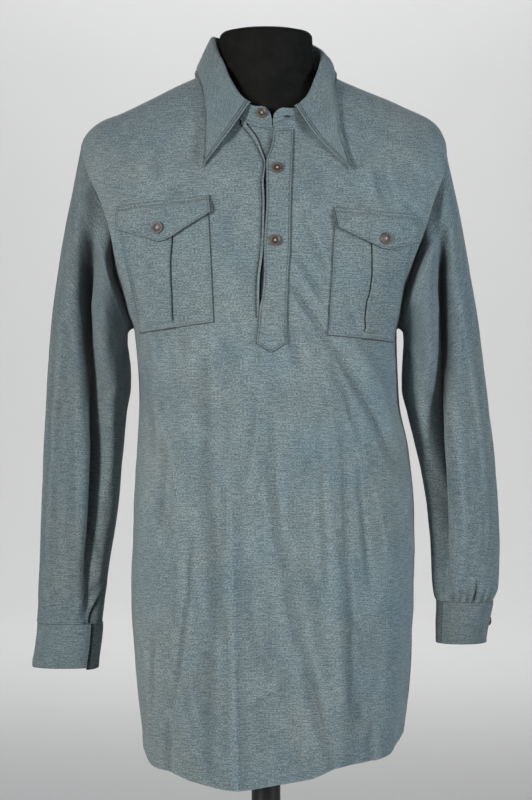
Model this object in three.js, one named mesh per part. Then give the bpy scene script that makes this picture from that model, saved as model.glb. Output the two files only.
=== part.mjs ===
// A long pullover service shirt on a limbless display form with a pole and a round base.
// Millimetres, +Z up. The front faces -Y, and "right" is the wearer's right, at -X.
// The origin is on the floor, in the middle of the base's underside.
import * as THREE from "three";

// Walls and clearances
const clothWall = 2; // body and sleeve panels, seam allowance included
const pliedWall = 1.6; // pockets, flaps, plackets, cuffs and collar leaf
const standWall = 2.2;
const seamGap = 0.3; // between two panels at a seam
const layerGap = 0.5; // between a panel and what is sewn on it
const pocketGap = 0.8;

// Body
const armpitZ = 833;
const sidePower = 2.3; // how square the body's rings are
const ridgeY = 4; // the shoulder seam's place, a little behind the middle
const shoulderRound = 70; // height over which the cloth turns down from the shoulder seam
const ventTop = 496; // the side seams are open below this
const ventHalfGap = 3;
const armholeCells = 14;
const ventCells = 5;
const skirtCells = 7;
const shoulderCells = 7;
const shoulderCrowding = 1.5; // how much closer the columns stand toward the shoulder point

// Neck
const neckHalf = 76;
const neckFront = 72;
const neckBack = 62;
const neckPointZ = 1154;
const neckDrop = 76; // the front neckline's depth below the neck point
const napeRise = 5;
const neckFade = 55; // how far below the neckline its oval still shapes the panels
const slitAngles = { right: -19, left: 8.5 }; // the front slit's two edges, round the neck
const frontNeckAngles = [-90, -74, -60, -46, -32, slitAngles.right, slitAngles.left, 22, 37, 53, 71, 90];
const backNeckAngles = [90, 108, 126, 144, 162, 180, 198, 216, 234, 252, 270];
const slitBottomZ = 838;
const slitShift = 3; // degrees the front's middle columns stand to the left, under the placket
// The slit's right edge: it gapes above the first placket button.
const slitEdge = [
  { z: 838, x: -2 },
  { z: 937, x: 3 },
  { z: 1024, x: 3 },
  { z: 1040, x: -1.5 },
  { z: 1062, x: -15 },
  { z: 1085, x: -24.7 },
];

// Rings round the body: its half widths to the side or armhole edge, its depths at the middle, and
// flare, how much wider than the panel's edge the ring would be if it went on round the arm.
const bodyLevels = [
  { z: 280, right: 150, left: 166, front: 119, back: 108, flare: 1 },
  { z: 396, right: 161, left: 178, front: 123, back: 108, flare: 1 },
  { z: 496, right: 167, left: 183, front: 125, back: 107, flare: 1 },
  { z: 601, right: 165, left: 185, front: 127, back: 106, flare: 1 },
  { z: 683, right: 161, left: 178, front: 129, back: 106, flare: 1 },
  { z: 746, right: 158, left: 166, front: 130, back: 107, flare: 1 },
  { z: 833, right: 164, left: 163, front: 131, back: 110, flare: 1 },
  { z: 852, right: 168, left: 164, front: 130, back: 112, flare: 1.035 },
  { z: 880, right: 174, left: 167, front: 129, back: 113, flare: 1.08 },
  { z: 915, right: 183, left: 179, front: 126, back: 114, flare: 1.15 },
  { z: 953, right: 191, left: 194, front: 121, back: 112, flare: 1.19 },
  { z: 988, right: 202, left: 205, front: 112, back: 107, flare: 1.19 },
  { z: 1020, right: 217, left: 217, front: 100, back: 97, flare: 1.19 },
  { z: 1052, right: 227, left: 225, front: 84, back: 82, flare: 1.2 },
  { z: 1080, right: 232, left: 228, front: 72, back: 68, flare: 1.2 },
  { z: 1160, right: 240, left: 236, front: 54, back: 52, flare: 1.2 },
];

// The shoulder seam's height, by distance from the middle.
const shoulderLine = {
  right: [
    { x: 0, z: 1184 },
    { x: 50, z: 1172 },
    { x: 76, z: 1154 },
    { x: 107, z: 1140 },
    { x: 145, z: 1121 },
    { x: 183, z: 1103 },
    { x: 202, z: 1096 },
    { x: 217, z: 1086 },
    { x: 227, z: 1074 },
    { x: 231, z: 1065 },
  ],
  left: [
    { x: 0, z: 1184 },
    { x: 50, z: 1172 },
    { x: 76, z: 1154 },
    { x: 117, z: 1135 },
    { x: 152, z: 1121 },
    { x: 176, z: 1110 },
    { x: 200, z: 1099 },
    { x: 214, z: 1088 },
    { x: 223, z: 1070 },
    { x: 225, z: 1052 },
  ],
};

// Hanging folds of the skirt: the place round the ring in degrees from the middle of the panel (positive to
// the wearer's left), the half width in degrees, the height out of the cloth at the hem, and where each fades.
const skirtFolds = {
  front: [
    { at: -66, width: 9, rise: 4, topZ: 760 },
    { at: -46, width: 8, rise: -4, topZ: 700 },
    { at: -16, width: 7, rise: 5, topZ: 640 },
    { at: 6, width: 10, rise: -4, topZ: 600 },
    { at: 24, width: 8, rise: 4, topZ: 680 },
    { at: 42, width: 8, rise: -5, topZ: 790 },
    { at: 58, width: 8, rise: 4, topZ: 790 },
    { at: 76, width: 7, rise: -4, topZ: 700 },
  ],
  back: [
    { at: -62, width: 10, rise: 5, topZ: 800 },
    { at: -38, width: 9, rise: -5, topZ: 760 },
    { at: -12, width: 9, rise: 6, topZ: 820 },
    { at: 14, width: 10, rise: -5, topZ: 780 },
    { at: 36, width: 9, rise: 5, topZ: 740 },
    { at: 62, width: 9, rise: -4, topZ: 700 },
  ],
};
// Height of each tail's hem, by the share of the panel's half width, before its corners are rounded.
const hems = {
  front: [
    { x: -1, z: 300 },
    { x: -0.85, z: 296 },
    { x: -0.6, z: 285 },
    { x: -0.23, z: 277 },
    { x: 0.12, z: 284 },
    { x: 0.33, z: 291 },
    { x: 0.51, z: 303 },
    { x: 0.75, z: 307 },
    { x: 1, z: 315 },
  ],
  back: [
    { x: -1, z: 306 },
    { x: -0.5, z: 293 },
    { x: 0, z: 290 },
    { x: 0.5, z: 294 },
    { x: 1, z: 312 },
  ],
};
const hemCorner = { start: 0.88, rise: 18 }; // where the rounding begins, as a share of the half width
const backTailFlare = 2; // how far the back tail stands out to the left of the front one

// Sleeve rings from the armhole to the cuff seam. out and in are the ring's outer and inner ends seen from
// the front, mid and half its place and half depth across the view. valley is the depth of the long fold down
// the front as a share of the ring's radius, at valleyAt degrees, and hollow is the same down the back.
const sleeveRings = {
  right: [
    { outX: 231, outZ: 1065, inX: 164, inZ: 833, mid: 0, half: 66, valley: 0, valleyAt: 262, hollow: 0 },
    { outX: 240, outZ: 1012, inX: 172, inZ: 829, mid: 0, half: 66, valley: 0.12, valleyAt: 262, hollow: 0.05 },
    { outX: 250, outZ: 962, inX: 173, inZ: 816, mid: 0, half: 66, valley: 0.42, valleyAt: 260, hollow: 0.15 },
    { outX: 259, outZ: 912, inX: 171, inZ: 802, mid: 0, half: 64, valley: 0.62, valleyAt: 258, hollow: 0.25 },
    { outX: 266, outZ: 860, inX: 169, inZ: 784, mid: -1, half: 61, valley: 0.72, valleyAt: 257, hollow: 0.3 },
    { outX: 271, outZ: 805, inX: 169, inZ: 762, mid: -2, half: 57, valley: 0.76, valleyAt: 256, hollow: 0.35 },
    { outX: 274, outZ: 744, inX: 174, inZ: 730, mid: -4, half: 53, valley: 0.78, valleyAt: 256, hollow: 0.35 },
    { outX: 276, outZ: 680, inX: 178, inZ: 680, mid: -6, half: 49, valley: 0.76, valleyAt: 254, hollow: 0.32 },
    { outX: 278, outZ: 612, inX: 184, inZ: 612, mid: -9, half: 45, valley: 0.7, valleyAt: 250, hollow: 0.28 },
    { outX: 280, outZ: 548, inX: 194, inZ: 548, mid: -12, half: 41, valley: 0.58, valleyAt: 246, hollow: 0.2 },
    { outX: 283, outZ: 500, inX: 200, inZ: 500, mid: -14, half: 37, valley: 0.4, valleyAt: 242, hollow: 0.1 },
    { outX: 284, outZ: 470, inX: 203, inZ: 470, mid: -15, half: 33, valley: 0.2, valleyAt: 240, hollow: 0 },
  ],
  left: [
    { outX: 225, outZ: 1052, inX: 163, inZ: 833, mid: 0, half: 66, valley: 0, valleyAt: 262, hollow: 0 },
    { outX: 235, outZ: 1006, inX: 171, inZ: 829, mid: 0, half: 66, valley: 0.12, valleyAt: 264, hollow: 0.05 },
    { outX: 245, outZ: 956, inX: 172, inZ: 816, mid: 0, half: 66, valley: 0.42, valleyAt: 262, hollow: 0.15 },
    { outX: 255, outZ: 904, inX: 171, inZ: 801, mid: 0, half: 64, valley: 0.6, valleyAt: 258, hollow: 0.25 },
    { outX: 264, outZ: 850, inX: 170, inZ: 782, mid: -1, half: 61, valley: 0.7, valleyAt: 254, hollow: 0.3 },
    { outX: 271, outZ: 795, inX: 170, inZ: 760, mid: -2, half: 58, valley: 0.74, valleyAt: 250, hollow: 0.35 },
    { outX: 277, outZ: 738, inX: 177, inZ: 728, mid: -4, half: 54, valley: 0.72, valleyAt: 247, hollow: 0.35 },
    { outX: 283, outZ: 676, inX: 189, inZ: 676, mid: -6, half: 50, valley: 0.64, valleyAt: 243, hollow: 0.3 },
    { outX: 287, outZ: 616, inX: 200, inZ: 616, mid: -9, half: 46, valley: 0.5, valleyAt: 238, hollow: 0.25 },
    { outX: 289, outZ: 560, inX: 205, inZ: 560, mid: -12, half: 43, valley: 0.36, valleyAt: 234, hollow: 0.2 },
    { outX: 288, outZ: 514, inX: 207, inZ: 514, mid: -14, half: 39, valley: 0.2, valleyAt: 230, hollow: 0.1 },
    { outX: 280, outZ: 497, inX: 212, inZ: 497, mid: -15, half: 31, valley: 0.08, valleyAt: 230, hollow: 0 },
  ],
};
const sleeveRows = 19;
const sleevePower = 2.1;
const valleyWidth = 21; // degrees
const hollowAt = 95; // degrees
const hollowWidth = 26;
const armholeBlend = 3.2; // rings over which the sleeve leaves the armhole's shape

// Cuffs: rings from the cuff seam down. The band runs from one end to the other round the wrist, in degrees
// from the outer side over the back, and lap is how far its outer end stands off at the overlap.
const cuffs = {
  right: {
    from: 229,
    to: 580,
    lap: 0,
    rings: [
      { z: 469.6, outX: 284.5, inX: 202, mid: -15, half: 33.5 },
      { z: 442, outX: 287, inX: 204, mid: -15.5, half: 32 },
      { z: 413.5, outX: 290.5, inX: 207, mid: -16, half: 30 },
    ],
  },
  left: {
    from: 12,
    to: 396,
    lap: 2.6,
    rings: [
      { z: 496.6, outX: 280.5, inX: 211.5, mid: -15, half: 31.5 },
      { z: 471, outX: 276, inX: 211, mid: -15.5, half: 31 },
      { z: 445.5, outX: 272, inX: 211, mid: -16, half: 30 },
    ],
  },
};
const cuffCells = 26;
const cuffLapTurn = 60; // degrees over which the outer end lifts

// Collar: the stand's height round the neck, and the leaf's outer edge. A row with no y lies on the front.
const collarHeights = [
  { turn: 0, height: 26 },
  { turn: 16, height: 20 },
  { turn: 32, height: 11 },
  { turn: 42, height: 11 },
  { turn: 60, height: 19 },
  { turn: 90, height: 24 },
  { turn: 135, height: 38 },
  { turn: 180, height: 43 },
  { turn: 225, height: 42 },
  { turn: 270, height: 43 },
  { turn: 300, height: 44 },
  { turn: 319, height: 35 },
  { turn: 336, height: 25.5 },
  { turn: 346, height: 24 },
  { turn: 360, height: 27 },
];
const leafEdge = [
  { turn: 29, x: 106, z: 1024 },
  { turn: 42, x: 97, z: 1050 },
  { turn: 55, x: 89, z: 1081 },
  { turn: 70, x: 86, z: 1116 },
  { turn: 90, x: 88, y: 8, z: 1154 },
  { turn: 112, x: 86, y: 46, z: 1151 },
  { turn: 135, x: 67, y: 70, z: 1153 },
  { turn: 158, x: 35, y: 80, z: 1157 },
  { turn: 180, x: 0, y: 83, z: 1158 },
  { turn: 202, x: -35, y: 80, z: 1157 },
  { turn: 225, x: -67, y: 70, z: 1153 },
  { turn: 248, x: -88, y: 46, z: 1150 },
  { turn: 270, x: -89, y: 8, z: 1154 },
  { turn: 286, x: -79, z: 1124 },
  { turn: 300, x: -75, z: 1098 },
  { turn: 319, x: -75, z: 1064 },
  { turn: 344, x: -78, z: 1028 },
];
const standEnds = { left: 7.2, right: 365.3 }; // degrees, either side of the front opening
const standEndRound = [0, 1.5, 4, 8, 14]; // distances from an end where its top corner is drawn
const standEndDrop = 15; // how far the rounded corner falls
const standLift = 0.6; // the stand above the neck edge
const standLean = 7.5; // how far the fold line leans in over the neckline
const rollWidth = 2.9; // the leaf's roll over the stand's top
const rollLift = 3.7;
const leafRows = [0, 0.2, 0.45, 0.7, 0.9];
const leafClear = 3.4; // between the leaf and the body below it

// Plackets: the edges of each strip by height. The upper one ends in a point.
const placketOver = [
  { z: 1076, from: 9.3, to: 33 },
  { z: 1050, from: 5, to: 32 },
  { z: 1022, from: 0.5, to: 30.5 },
  { z: 937, from: -0.5, to: 29 },
  { z: 861, from: -6, to: 25 },
  { z: 814, from: -11, to: 24.5 },
];
const placketPoint = 11; // the point's reach below the last row
const placketUnder = [
  { z: 1083, from: -27, to: 17 },
  { z: 1026, from: -13, to: 18 },
  { z: 937, from: -11, to: 16 },
  { z: 846, from: -10, to: 14 },
];
const placketRows = 16;
const placketCells = 4;

// Breast pockets, from the inner edge outwards. x is the distance from the middle.
const pockets = {
  right: {
    side: -1,
    top: { innerX: 69.3, innerZ: 975, outerX: 178.6, outerZ: 962 },
    bottom: { innerX: 62, innerZ: 839, outerX: 154, outerZ: 828 },
    flapTop: { innerX: 68.5, innerZ: 992, outerX: 181, outerZ: 981 },
    flapLow: { innerX: 66, innerZ: 970.5, pointX: 124, pointZ: 935, outerX: 179.5, outerZ: 953 },
    button: { x: 129, z: 953 },
  },
  left: {
    side: 1,
    top: { innerX: 82.8, innerZ: 960, outerX: 179.6, outerZ: 953 },
    bottom: { innerX: 74, innerZ: 824, outerX: 156, outerZ: 817 },
    flapTop: { innerX: 82, innerZ: 977.5, outerX: 182, outerZ: 970 },
    flapLow: { innerX: 86, innerZ: 952.5, pointX: 143, pointZ: 927, outerX: 183, outerZ: 939 },
    button: { x: 142, z: 941 },
  },
};
const pocketColumns = [0, 0.13, 0.26, 0.385, 0.4, 0.5, 0.6, 0.7, 0.8, 0.815, 0.88, 0.94, 1];
const pleatSpan = { from: 0.4, to: 0.8 }; // the box pleat, as shares of the pocket's width
const pleatRise = 1.7;
const pocketRows = 10;
const flapColumns = 8;
const flapRows = [0, 0.15, 0.3, 0.65, 1];
const flapLift = 5.2; // the flap's underside above the body, over the pleat

// Buttons
const buttonRadius = 7.2;
const buttonThick = 2.4;
const buttonHole = { radius: 0.9, apart: 3 };
const smallButtonRadius = 6.6;

// Display form: rings from the bottom up. A ring's depth falls off from its middle to its side as
// (1 - share^across)^fall, so that an ellipse has across 2 and fall 0.5.
const formRings = [
  { z: 480, half: 118, front: 84, back: 78, across: 2.2, fall: 0.455 },
  { z: 486, half: 130, front: 93, back: 86, across: 2.2, fall: 0.455 },
  { z: 500, half: 138, front: 98, back: 91, across: 2.2, fall: 0.455 },
  { z: 560, half: 144, front: 102, back: 95, across: 2.2, fall: 0.455 },
  { z: 650, half: 140, front: 99, back: 92, across: 2.2, fall: 0.455 },
  { z: 746, half: 134, front: 99, back: 90, across: 2.2, fall: 0.455 },
  { z: 833, half: 144, front: 111, back: 97, across: 2.2, fall: 0.455 },
  { z: 900, half: 152, front: 117, back: 102, across: 2.2, fall: 0.455 },
  { z: 950, half: 160, front: 110, back: 101, across: 2.15, fall: 0.465 },
  { z: 1000, half: 174, front: 95, back: 92, across: 2.1, fall: 0.476 },
  { z: 1040, half: 188, front: 79, back: 76, across: 2, fall: 0.5 },
  { z: 1066, half: 196, front: 66, back: 66, across: 1.8, fall: 0.56 },
  { z: 1084, half: 193, front: 60, back: 60, across: 1.6, fall: 0.7 },
  { z: 1100, half: 182, front: 55, back: 56, across: 1.5, fall: 1.05 },
  { z: 1118, half: 144, front: 54, back: 55, across: 1.5, fall: 1.4 },
  { z: 1137, half: 97, front: 54, back: 54, across: 1.5, fall: 1.45 },
  { z: 1144, half: 79, front: 54, back: 53, across: 1.6, fall: 1.15 },
  { z: 1150, half: 66, front: 54, back: 52, across: 1.7, fall: 0.85 },
  { z: 1162, half: 60, front: 54, back: 51, across: 2, fall: 0.5 },
  { z: 1180, half: 59, front: 54, back: 50, across: 2, fall: 0.5 },
  { z: 1200, half: 58, front: 53, back: 49, across: 2, fall: 0.5 },
  { z: 1205, half: 53, front: 48, back: 44, across: 2, fall: 0.5 },
  { z: 1208, half: 40, front: 35, back: 31, across: 2, fall: 0.5 },
];
const formTop = 1209;
const formCells = 28;
const poleRadius = 18;
const base = { radius: 190, thick: 12, edge: 3, hubRadius: 30, hubTop: 46 };
const poleSides = 24;
const baseSides = 48;

const clothLook = { color: 0x6b7a7c, roughness: 0.95, metalness: 0 };
const buttonLook = { color: 0x5c4a44, roughness: 0.6, metalness: 0 };
const formLook = { color: 0x161615, roughness: 0.85, metalness: 0 };
const standLook = { color: 0x141414, roughness: 0.5, metalness: 0.6 };

// Small helpers
const rad = THREE.MathUtils.degToRad;
const { lerp, clamp, smoothstep } = THREE.MathUtils;
const vec = (x, y, z) => new THREE.Vector3(x, y, z);
const steps = (n) => Array.from({ length: n + 1 }, (_, i) => i / n);

// A smooth curve through a table's rows: slopes never overshoot the rows on either side.
function tableSlope(table, along, column, i) {
  if (i === 0 || i === table.length - 1) return 0;
  const before = (table[i][column] - table[i - 1][column]) / (table[i][along] - table[i - 1][along]);
  const after = (table[i + 1][column] - table[i][column]) / (table[i + 1][along] - table[i][along]);
  return before * after <= 0 ? 0 : (2 * before * after) / (before + after);
}
function read(table, along, at, column) {
  const last = table.length - 1;
  if (at <= table[0][along]) return table[0][column];
  if (at >= table[last][along]) return table[last][column];
  let i = 0;
  while (table[i + 1][along] < at) i += 1;
  const width = table[i + 1][along] - table[i][along];
  const t = (at - table[i][along]) / width;
  const t2 = t * t;
  const t3 = t2 * t;
  return (
    table[i][column] * (2 * t3 - 3 * t2 + 1) +
    table[i + 1][column] * (3 * t2 - 2 * t3) +
    tableSlope(table, along, column, i) * width * (t3 - 2 * t2 + t) +
    tableSlope(table, along, column, i + 1) * width * (t3 - t2)
  );
}

// The neckline, by the turn round the neck: 0 is the middle of the front, 90 the wearer's left.
function neckline(turn) {
  const a = rad(turn);
  const s = Math.sin(a);
  const c = Math.cos(a);
  const round = Math.pow(Math.max(0, 1 - Math.pow(Math.abs(s), 1.7)), 1 / 1.7);
  return c > 0
    ? vec(neckHalf * s, ridgeY * (1 - c) - neckFront * c, neckPointZ - neckDrop * round)
    : vec(neckHalf * s, ridgeY * (1 + c) - neckBack * c, neckPointZ - napeRise * c);
}
const neckTurn = (x, front) => {
  const a = THREE.MathUtils.radToDeg(Math.asin(clamp(x / neckHalf, -1, 1)));
  return front ? a : 180 - a;
};

// The body's surface, as its depth at a place seen from the front.
const sideOf = (x) => (x < 0 ? "right" : "left");
const edgeX = (side, z) => read(bodyLevels, "z", z, side);
const ridgeZ = (x) => read(shoulderLine[sideOf(x)], "x", Math.abs(x), "z");
function plainDepth(x, z, front) {
  const half = edgeX(sideOf(x), z) * read(bodyLevels, "z", z, "flare");
  const share = Math.min(1, Math.abs(x) / half);
  const across = Math.pow(1 - Math.pow(share, sidePower), 1 / sidePower);
  const fall = 1 - clamp((ridgeZ(x) - z) / shoulderRound, 0, 1);
  const turnedDown = Math.sqrt(1 - fall * fall);
  const middle = z < armpitZ ? 0 : ridgeY * smoothstep(z, armpitZ, neckPointZ);
  const reach = read(bodyLevels, "z", z, front ? "front" : "back");
  return front
    ? middle - (reach + middle) * across * turnedDown
    : middle + (reach - middle) * across * turnedDown;
}
function depth(x, z, front) {
  const plain = plainDepth(x, z, front);
  if (Math.abs(x) >= neckHalf) return plain;
  const rim = neckline(neckTurn(x, front));
  const fade = 1 - smoothstep(rim.z - z, 0, neckFade);
  return plain + (rim.y - plainDepth(x, rim.z, front)) * fade;
}
const onFront = (x, z) => vec(x, depth(x, z, true), z);
function frontNormal(x, z) {
  const e = 1.5;
  const slopeX = (depth(x + e, z, true) - depth(x - e, z, true)) / (2 * e);
  const slopeZ = (depth(x, z + e, true) - depth(x, z - e, true)) / (2 * e);
  return vec(slopeX, -1, slopeZ).normalize();
}
const raisedFront = (x, z, rise) => onFront(x, z).addScaledVector(frontNormal(x, z), rise);

// A grid is rows of points from low to high, each row anticlockwise seen from above, so that it faces out.
// Columns of a body panel: where each stands at the top row and at the armpit row.
function bodyColumns(neckAngles, front) {
  const columns = [];
  const inner = neckAngles.slice(1, -1);
  const first = front ? "right" : "left";
  const second = front ? "left" : "right";
  const shares = steps(shoulderCells).map((f) => 1 - Math.pow(1 - f, shoulderCrowding));
  for (const share of [...shares].reverse()) columns.push({ side: first, shoulder: share });
  for (const turn of inner) columns.push({ turn });
  for (const share of shares) columns.push({ side: second, shoulder: share });
  const count = columns.length - 1;
  columns.forEach((column, i) => {
    const low = lerp(-90, 90, i / count);
    column.low = low + (front ? slitShift * Math.exp(-Math.pow(low / 25, 2)) * Math.cos(rad(low)) : 0);
    column.sign = column.side ? (column.side === "left" ? 1 : -1) : 0;
  });
  return columns;
}
const shoulderTopX = (side, share) => {
  const line = shoulderLine[side];
  return lerp(neckHalf, line[line.length - 1].x, share);
};

function hemHeight(line, share) {
  const corner = Math.max(0, (Math.abs(share) - hemCorner.start) / (1 - hemCorner.start));
  return read(line, "x", share, "z") + hemCorner.rise * corner * corner;
}

// A point below the armpits, where the panels hang straight with their folds.
function skirtPoint(column, z, front) {
  const facing = front ? 1 : -1;
  const share = Math.sin(rad(column.low)) * facing;
  const x = share * edgeX(sideOf(share), z);
  const p = vec(x, depth(x, z, front), z);
  const out = vec(share, -facing * Math.cos(rad(column.low)), 0);
  const away = Math.pow(Math.cos(rad(column.low)), 0.5);
  for (const fold of front ? skirtFolds.front : skirtFolds.back) {
    const near = Math.exp(-Math.pow((column.low * facing - fold.at) / fold.width, 2));
    const grown = smoothstep(fold.topZ - z, 0, fold.topZ - hems.front[0].z);
    if (Math.abs(column.low) < 90) p.addScaledVector(out, fold.rise * near * grown * away);
  }
  const opened = smoothstep(ventTop - z, 0, 90);
  if (Math.abs(column.low) === 90) p.y -= facing * ventHalfGap * opened;
  if (!front && share > 0) p.x += backTailFlare * opened * Math.pow(share, 4);
  return p;
}

// A point beside the armholes, where the rows rise to the shoulder seam and the neckline.
function chestPoint(column, q, front) {
  const neck = column.turn !== undefined;
  const shoulderX = neck ? 0 : column.sign * shoulderTopX(column.side, column.shoulder);
  const top = neck ? neckline(column.turn) : vec(shoulderX, ridgeY, ridgeZ(shoulderX));
  if (q === 1) return top;
  const eased = (1 - Math.cos(Math.PI * q)) / 2;
  const topShare = top.x / shoulderTopX(sideOf(top.x), 1);
  const climb = lerp(q, eased, neck ? smoothstep(Math.abs(topShare), 0.1, 0.33) : 1);
  const z = lerp(armpitZ, top.z, climb);
  const share = Math.sin(rad(column.low)) * (front ? 1 : -1);
  const line = shoulderLine[sideOf(share)];
  const edge = edgeX(sideOf(share), lerp(armpitZ, line[line.length - 1].z, eased));
  let x = edge * lerp(share, topShare, smoothstep(q, 0, 0.8));
  if (front && neck && column.turn === slitAngles.right) x = read(slitEdge, "z", z, "x");
  return vec(x, depth(x, z, front), z);
}

function bodyPanel(front) {
  const columns = bodyColumns(front ? frontNeckAngles : backNeckAngles, front);
  const hemAt = (column) =>
    front
      ? hemHeight(hems.front, Math.sin(rad(column.low)))
      : hemHeight(hems.back, -Math.sin(rad(column.low)));
  const rows = [
    ...steps(ventCells).slice(0, -1).map((f) =>
      columns.map((c) => skirtPoint(c, lerp(hemAt(c), ventTop, f), front)),
    ),
    ...steps(skirtCells).slice(0, -1).map((f) =>
      columns.map((c) => skirtPoint(c, lerp(ventTop, armpitZ, f), front)),
    ),
    ...steps(armholeCells).map((q) => columns.map((c) => chestPoint(c, q, front))),
  ];
  return { rows, columns };
}
// Sleeve and cuff rings
function ringPoint(ring, turn, sign, power) {
  const c = Math.cos(rad(turn));
  const s = Math.sin(rad(turn));
  const away = (at) => Math.abs(((turn - at + 540) % 360) - 180);
  const fold =
    (ring.valley || 0) * Math.exp(-Math.pow(away(ring.valleyAt || 0) / valleyWidth, 2)) +
    (ring.hollow || 0) * Math.exp(-Math.pow(away(hollowAt) / hollowWidth, 2));
  const radius = 1 - fold;
  const along = Math.sign(c) * Math.pow(Math.abs(c), 2 / power) * radius;
  const across = Math.sign(s) * Math.pow(Math.abs(s), 2 / power) * radius;
  const x = (ring.outX + ring.inX) / 2 + ((ring.outX - ring.inX) / 2) * along;
  const z = (ring.outZ + ring.inZ) / 2 + ((ring.outZ - ring.inZ) / 2) * along;
  return vec(sign * x, ring.mid + ring.half * across, z);
}

// The armhole's points from the shoulder over the back to the armpit and up the front again.
function armhole(frontRows, backRows, side) {
  const first = frontRows.length - 1 - armholeCells;
  const frontEdge = frontRows.slice(first).map((row) => (side === "left" ? row[row.length - 1] : row[0]));
  const backEdge = backRows.slice(first).map((row) => (side === "left" ? row[0] : row[row.length - 1]));
  return [...backEdge.reverse(), ...frontEdge.slice(1, -1)];
}

function sleeve(side, loop) {
  const sign = side === "left" ? 1 : -1;
  const rings = sleeveRings[side].map((ring, i) => ({ ...ring, i }));
  const turns = loop.map((_, k) => (360 * k) / loop.length);
  const columns = ["outX", "outZ", "inX", "inZ", "mid", "half", "valley", "valleyAt", "hollow"];
  const rows = steps(sleeveRows).map((t) => {
    const at = t * (rings.length - 1);
    const ring = Object.fromEntries(columns.map((name) => [name, read(rings, "i", at, name)]));
    const kept = 1 - smoothstep(at, 0, armholeBlend);
    return turns.map((turn, k) => {
      const start = ringPoint(rings[0], turn, sign, sleevePower);
      const offset = loop[k].clone().sub(start).multiplyScalar(kept);
      return ringPoint(ring, turn, sign, sleevePower).add(offset);
    });
  });
  rows.reverse();
  return sign > 0 ? rows : rows.map((row) => [row[0], ...row.slice(1).reverse()]);
}

function cuff(side) {
  const { from, to, lap, rings } = cuffs[side];
  const sign = side === "left" ? 1 : -1;
  const rows = rings.map((ring) =>
    steps(cuffCells).map((f) => {
      const turn = lerp(from, to, f);
      const stand = lap * smoothstep(turn, to - cuffLapTurn, to - cuffLapTurn / 2);
      const level = { ...ring, outZ: ring.z, inZ: ring.z };
      level.outX += stand;
      level.inX -= stand;
      level.half += stand;
      return ringPoint(level, turn, sign, sleevePower);
    }),
  );
  rows.reverse();
  return sign > 0 ? rows : rows.map((row) => [...row].reverse());
}

// Walls. A point that panels share gets one normal, so that their edges meet square to each other. Grids
// in one group count as one surface there.
const placeKey = (p) => [p.x, p.y, p.z].map((v) => Math.round(v * 50)).join(",");
function sharedNormals(groups) {
  const sums = groups.map(() => new Map());
  groups.forEach((grids, g) => {
    for (const { rows, closed } of grids) {
      for (let j = 0; j + 1 < rows.length; j += 1) {
        const count = rows[j].length;
        for (let i = 0; i < (closed ? count : count - 1); i += 1) {
          const next = (i + 1) % count;
          const corners = [rows[j][i], rows[j][next], rows[j + 1][next], rows[j + 1][i]];
          const [a, b, c, d] = corners;
          const face = c.clone().sub(a).cross(d.clone().sub(b)).normalize();
          for (const p of corners) {
            const key = placeKey(p);
            if (!sums[g].has(key)) sums[g].set(key, vec(0, 0, 0));
            sums[g].get(key).add(face);
          }
        }
      }
    }
  });
  return (p) => {
    const met = sums.map((sum) => sum.get(placeKey(p))).filter(Boolean);
    return met.reduce((total, n) => total.add(n.clone().normalize()), vec(0, 0, 0)).normalize();
  };
}

// Draws a grid's edges in by half a seam gap, square to each edge.
function trimEdges(rows, closed, normalAt) {
  const ownNormal = sharedNormals([[{ rows, closed }]]);
  const out = rows.map((row) => row.map((p) => p.clone()));
  const drawIn = (edge, wraps) => {
    edge.forEach(([i, j], k) => {
      const before = edge[wraps ? (k + edge.length - 1) % edge.length : Math.max(0, k - 1)];
      const after = edge[wraps ? (k + 1) % edge.length : Math.min(edge.length - 1, k + 1)];
      const along = rows[after[1]][after[0]].clone().sub(rows[before[1]][before[0]]);
      const seam = along.clone().cross(normalAt(rows[j][i])).normalize();
      const inwards = ownNormal(rows[j][i]).cross(along).normalize();
      out[j][i].addScaledVector(inwards, seamGap / 2 / Math.max(0.4, Math.abs(inwards.dot(seam))));
    });
  };
  const last = rows.length - 1;
  const end = rows[0].length - 1;
  drawIn(rows[0].map((_, i) => [i, 0]), closed);
  drawIn(rows[0].map((_, i) => [end - i, last]), closed);
  if (!closed) {
    drawIn(rows.map((_, j) => [end, j]), false);
    drawIn(rows.map((_, j) => [0, last - j]), false);
  }
  return out;
}

// A closed solid between an outer and an inner grid. kept says which cells there are.
function solidBetween(outer, inner, { closed = false, kept = () => true } = {}) {
  const width = outer[0].length;
  const cells = closed ? width : width - 1;
  const positions = [...outer.flat(), ...inner.flat()].flatMap((p) => [p.x, p.y, p.z]);
  const innerStart = outer.length * width;
  const at = (i, j) => j * width + (i % width);
  const faces = [];
  const isCell = (i, j) => {
    if (j < 0 || j >= outer.length - 1) return false;
    if (!closed && (i < 0 || i >= cells)) return false;
    return kept((i + cells) % cells, j);
  };
  const quad = (a, b, c, d) => faces.push(a, b, c, a, c, d);
  const rim = (a, b) => quad(b, a, a + innerStart, b + innerStart);
  for (let j = 0; j < outer.length - 1; j += 1) {
    for (let i = 0; i < cells; i += 1) {
      if (!isCell(i, j)) continue;
      const [a, b, c, d] = [at(i, j), at(i + 1, j), at(i + 1, j + 1), at(i, j + 1)];
      quad(a, b, c, d);
      quad(d + innerStart, c + innerStart, b + innerStart, a + innerStart);
      if (!isCell(i, j - 1)) rim(a, b);
      if (!isCell(i + 1, j)) rim(b, c);
      if (!isCell(i, j + 1)) rim(c, d);
      if (!isCell(i - 1, j)) rim(d, a);
    }
  }
  const geometry = new THREE.BufferGeometry();
  geometry.setAttribute("position", new THREE.Float32BufferAttribute(positions, 3));
  geometry.setIndex(faces);
  geometry.computeVertexNormals();
  return geometry;
}

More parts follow.
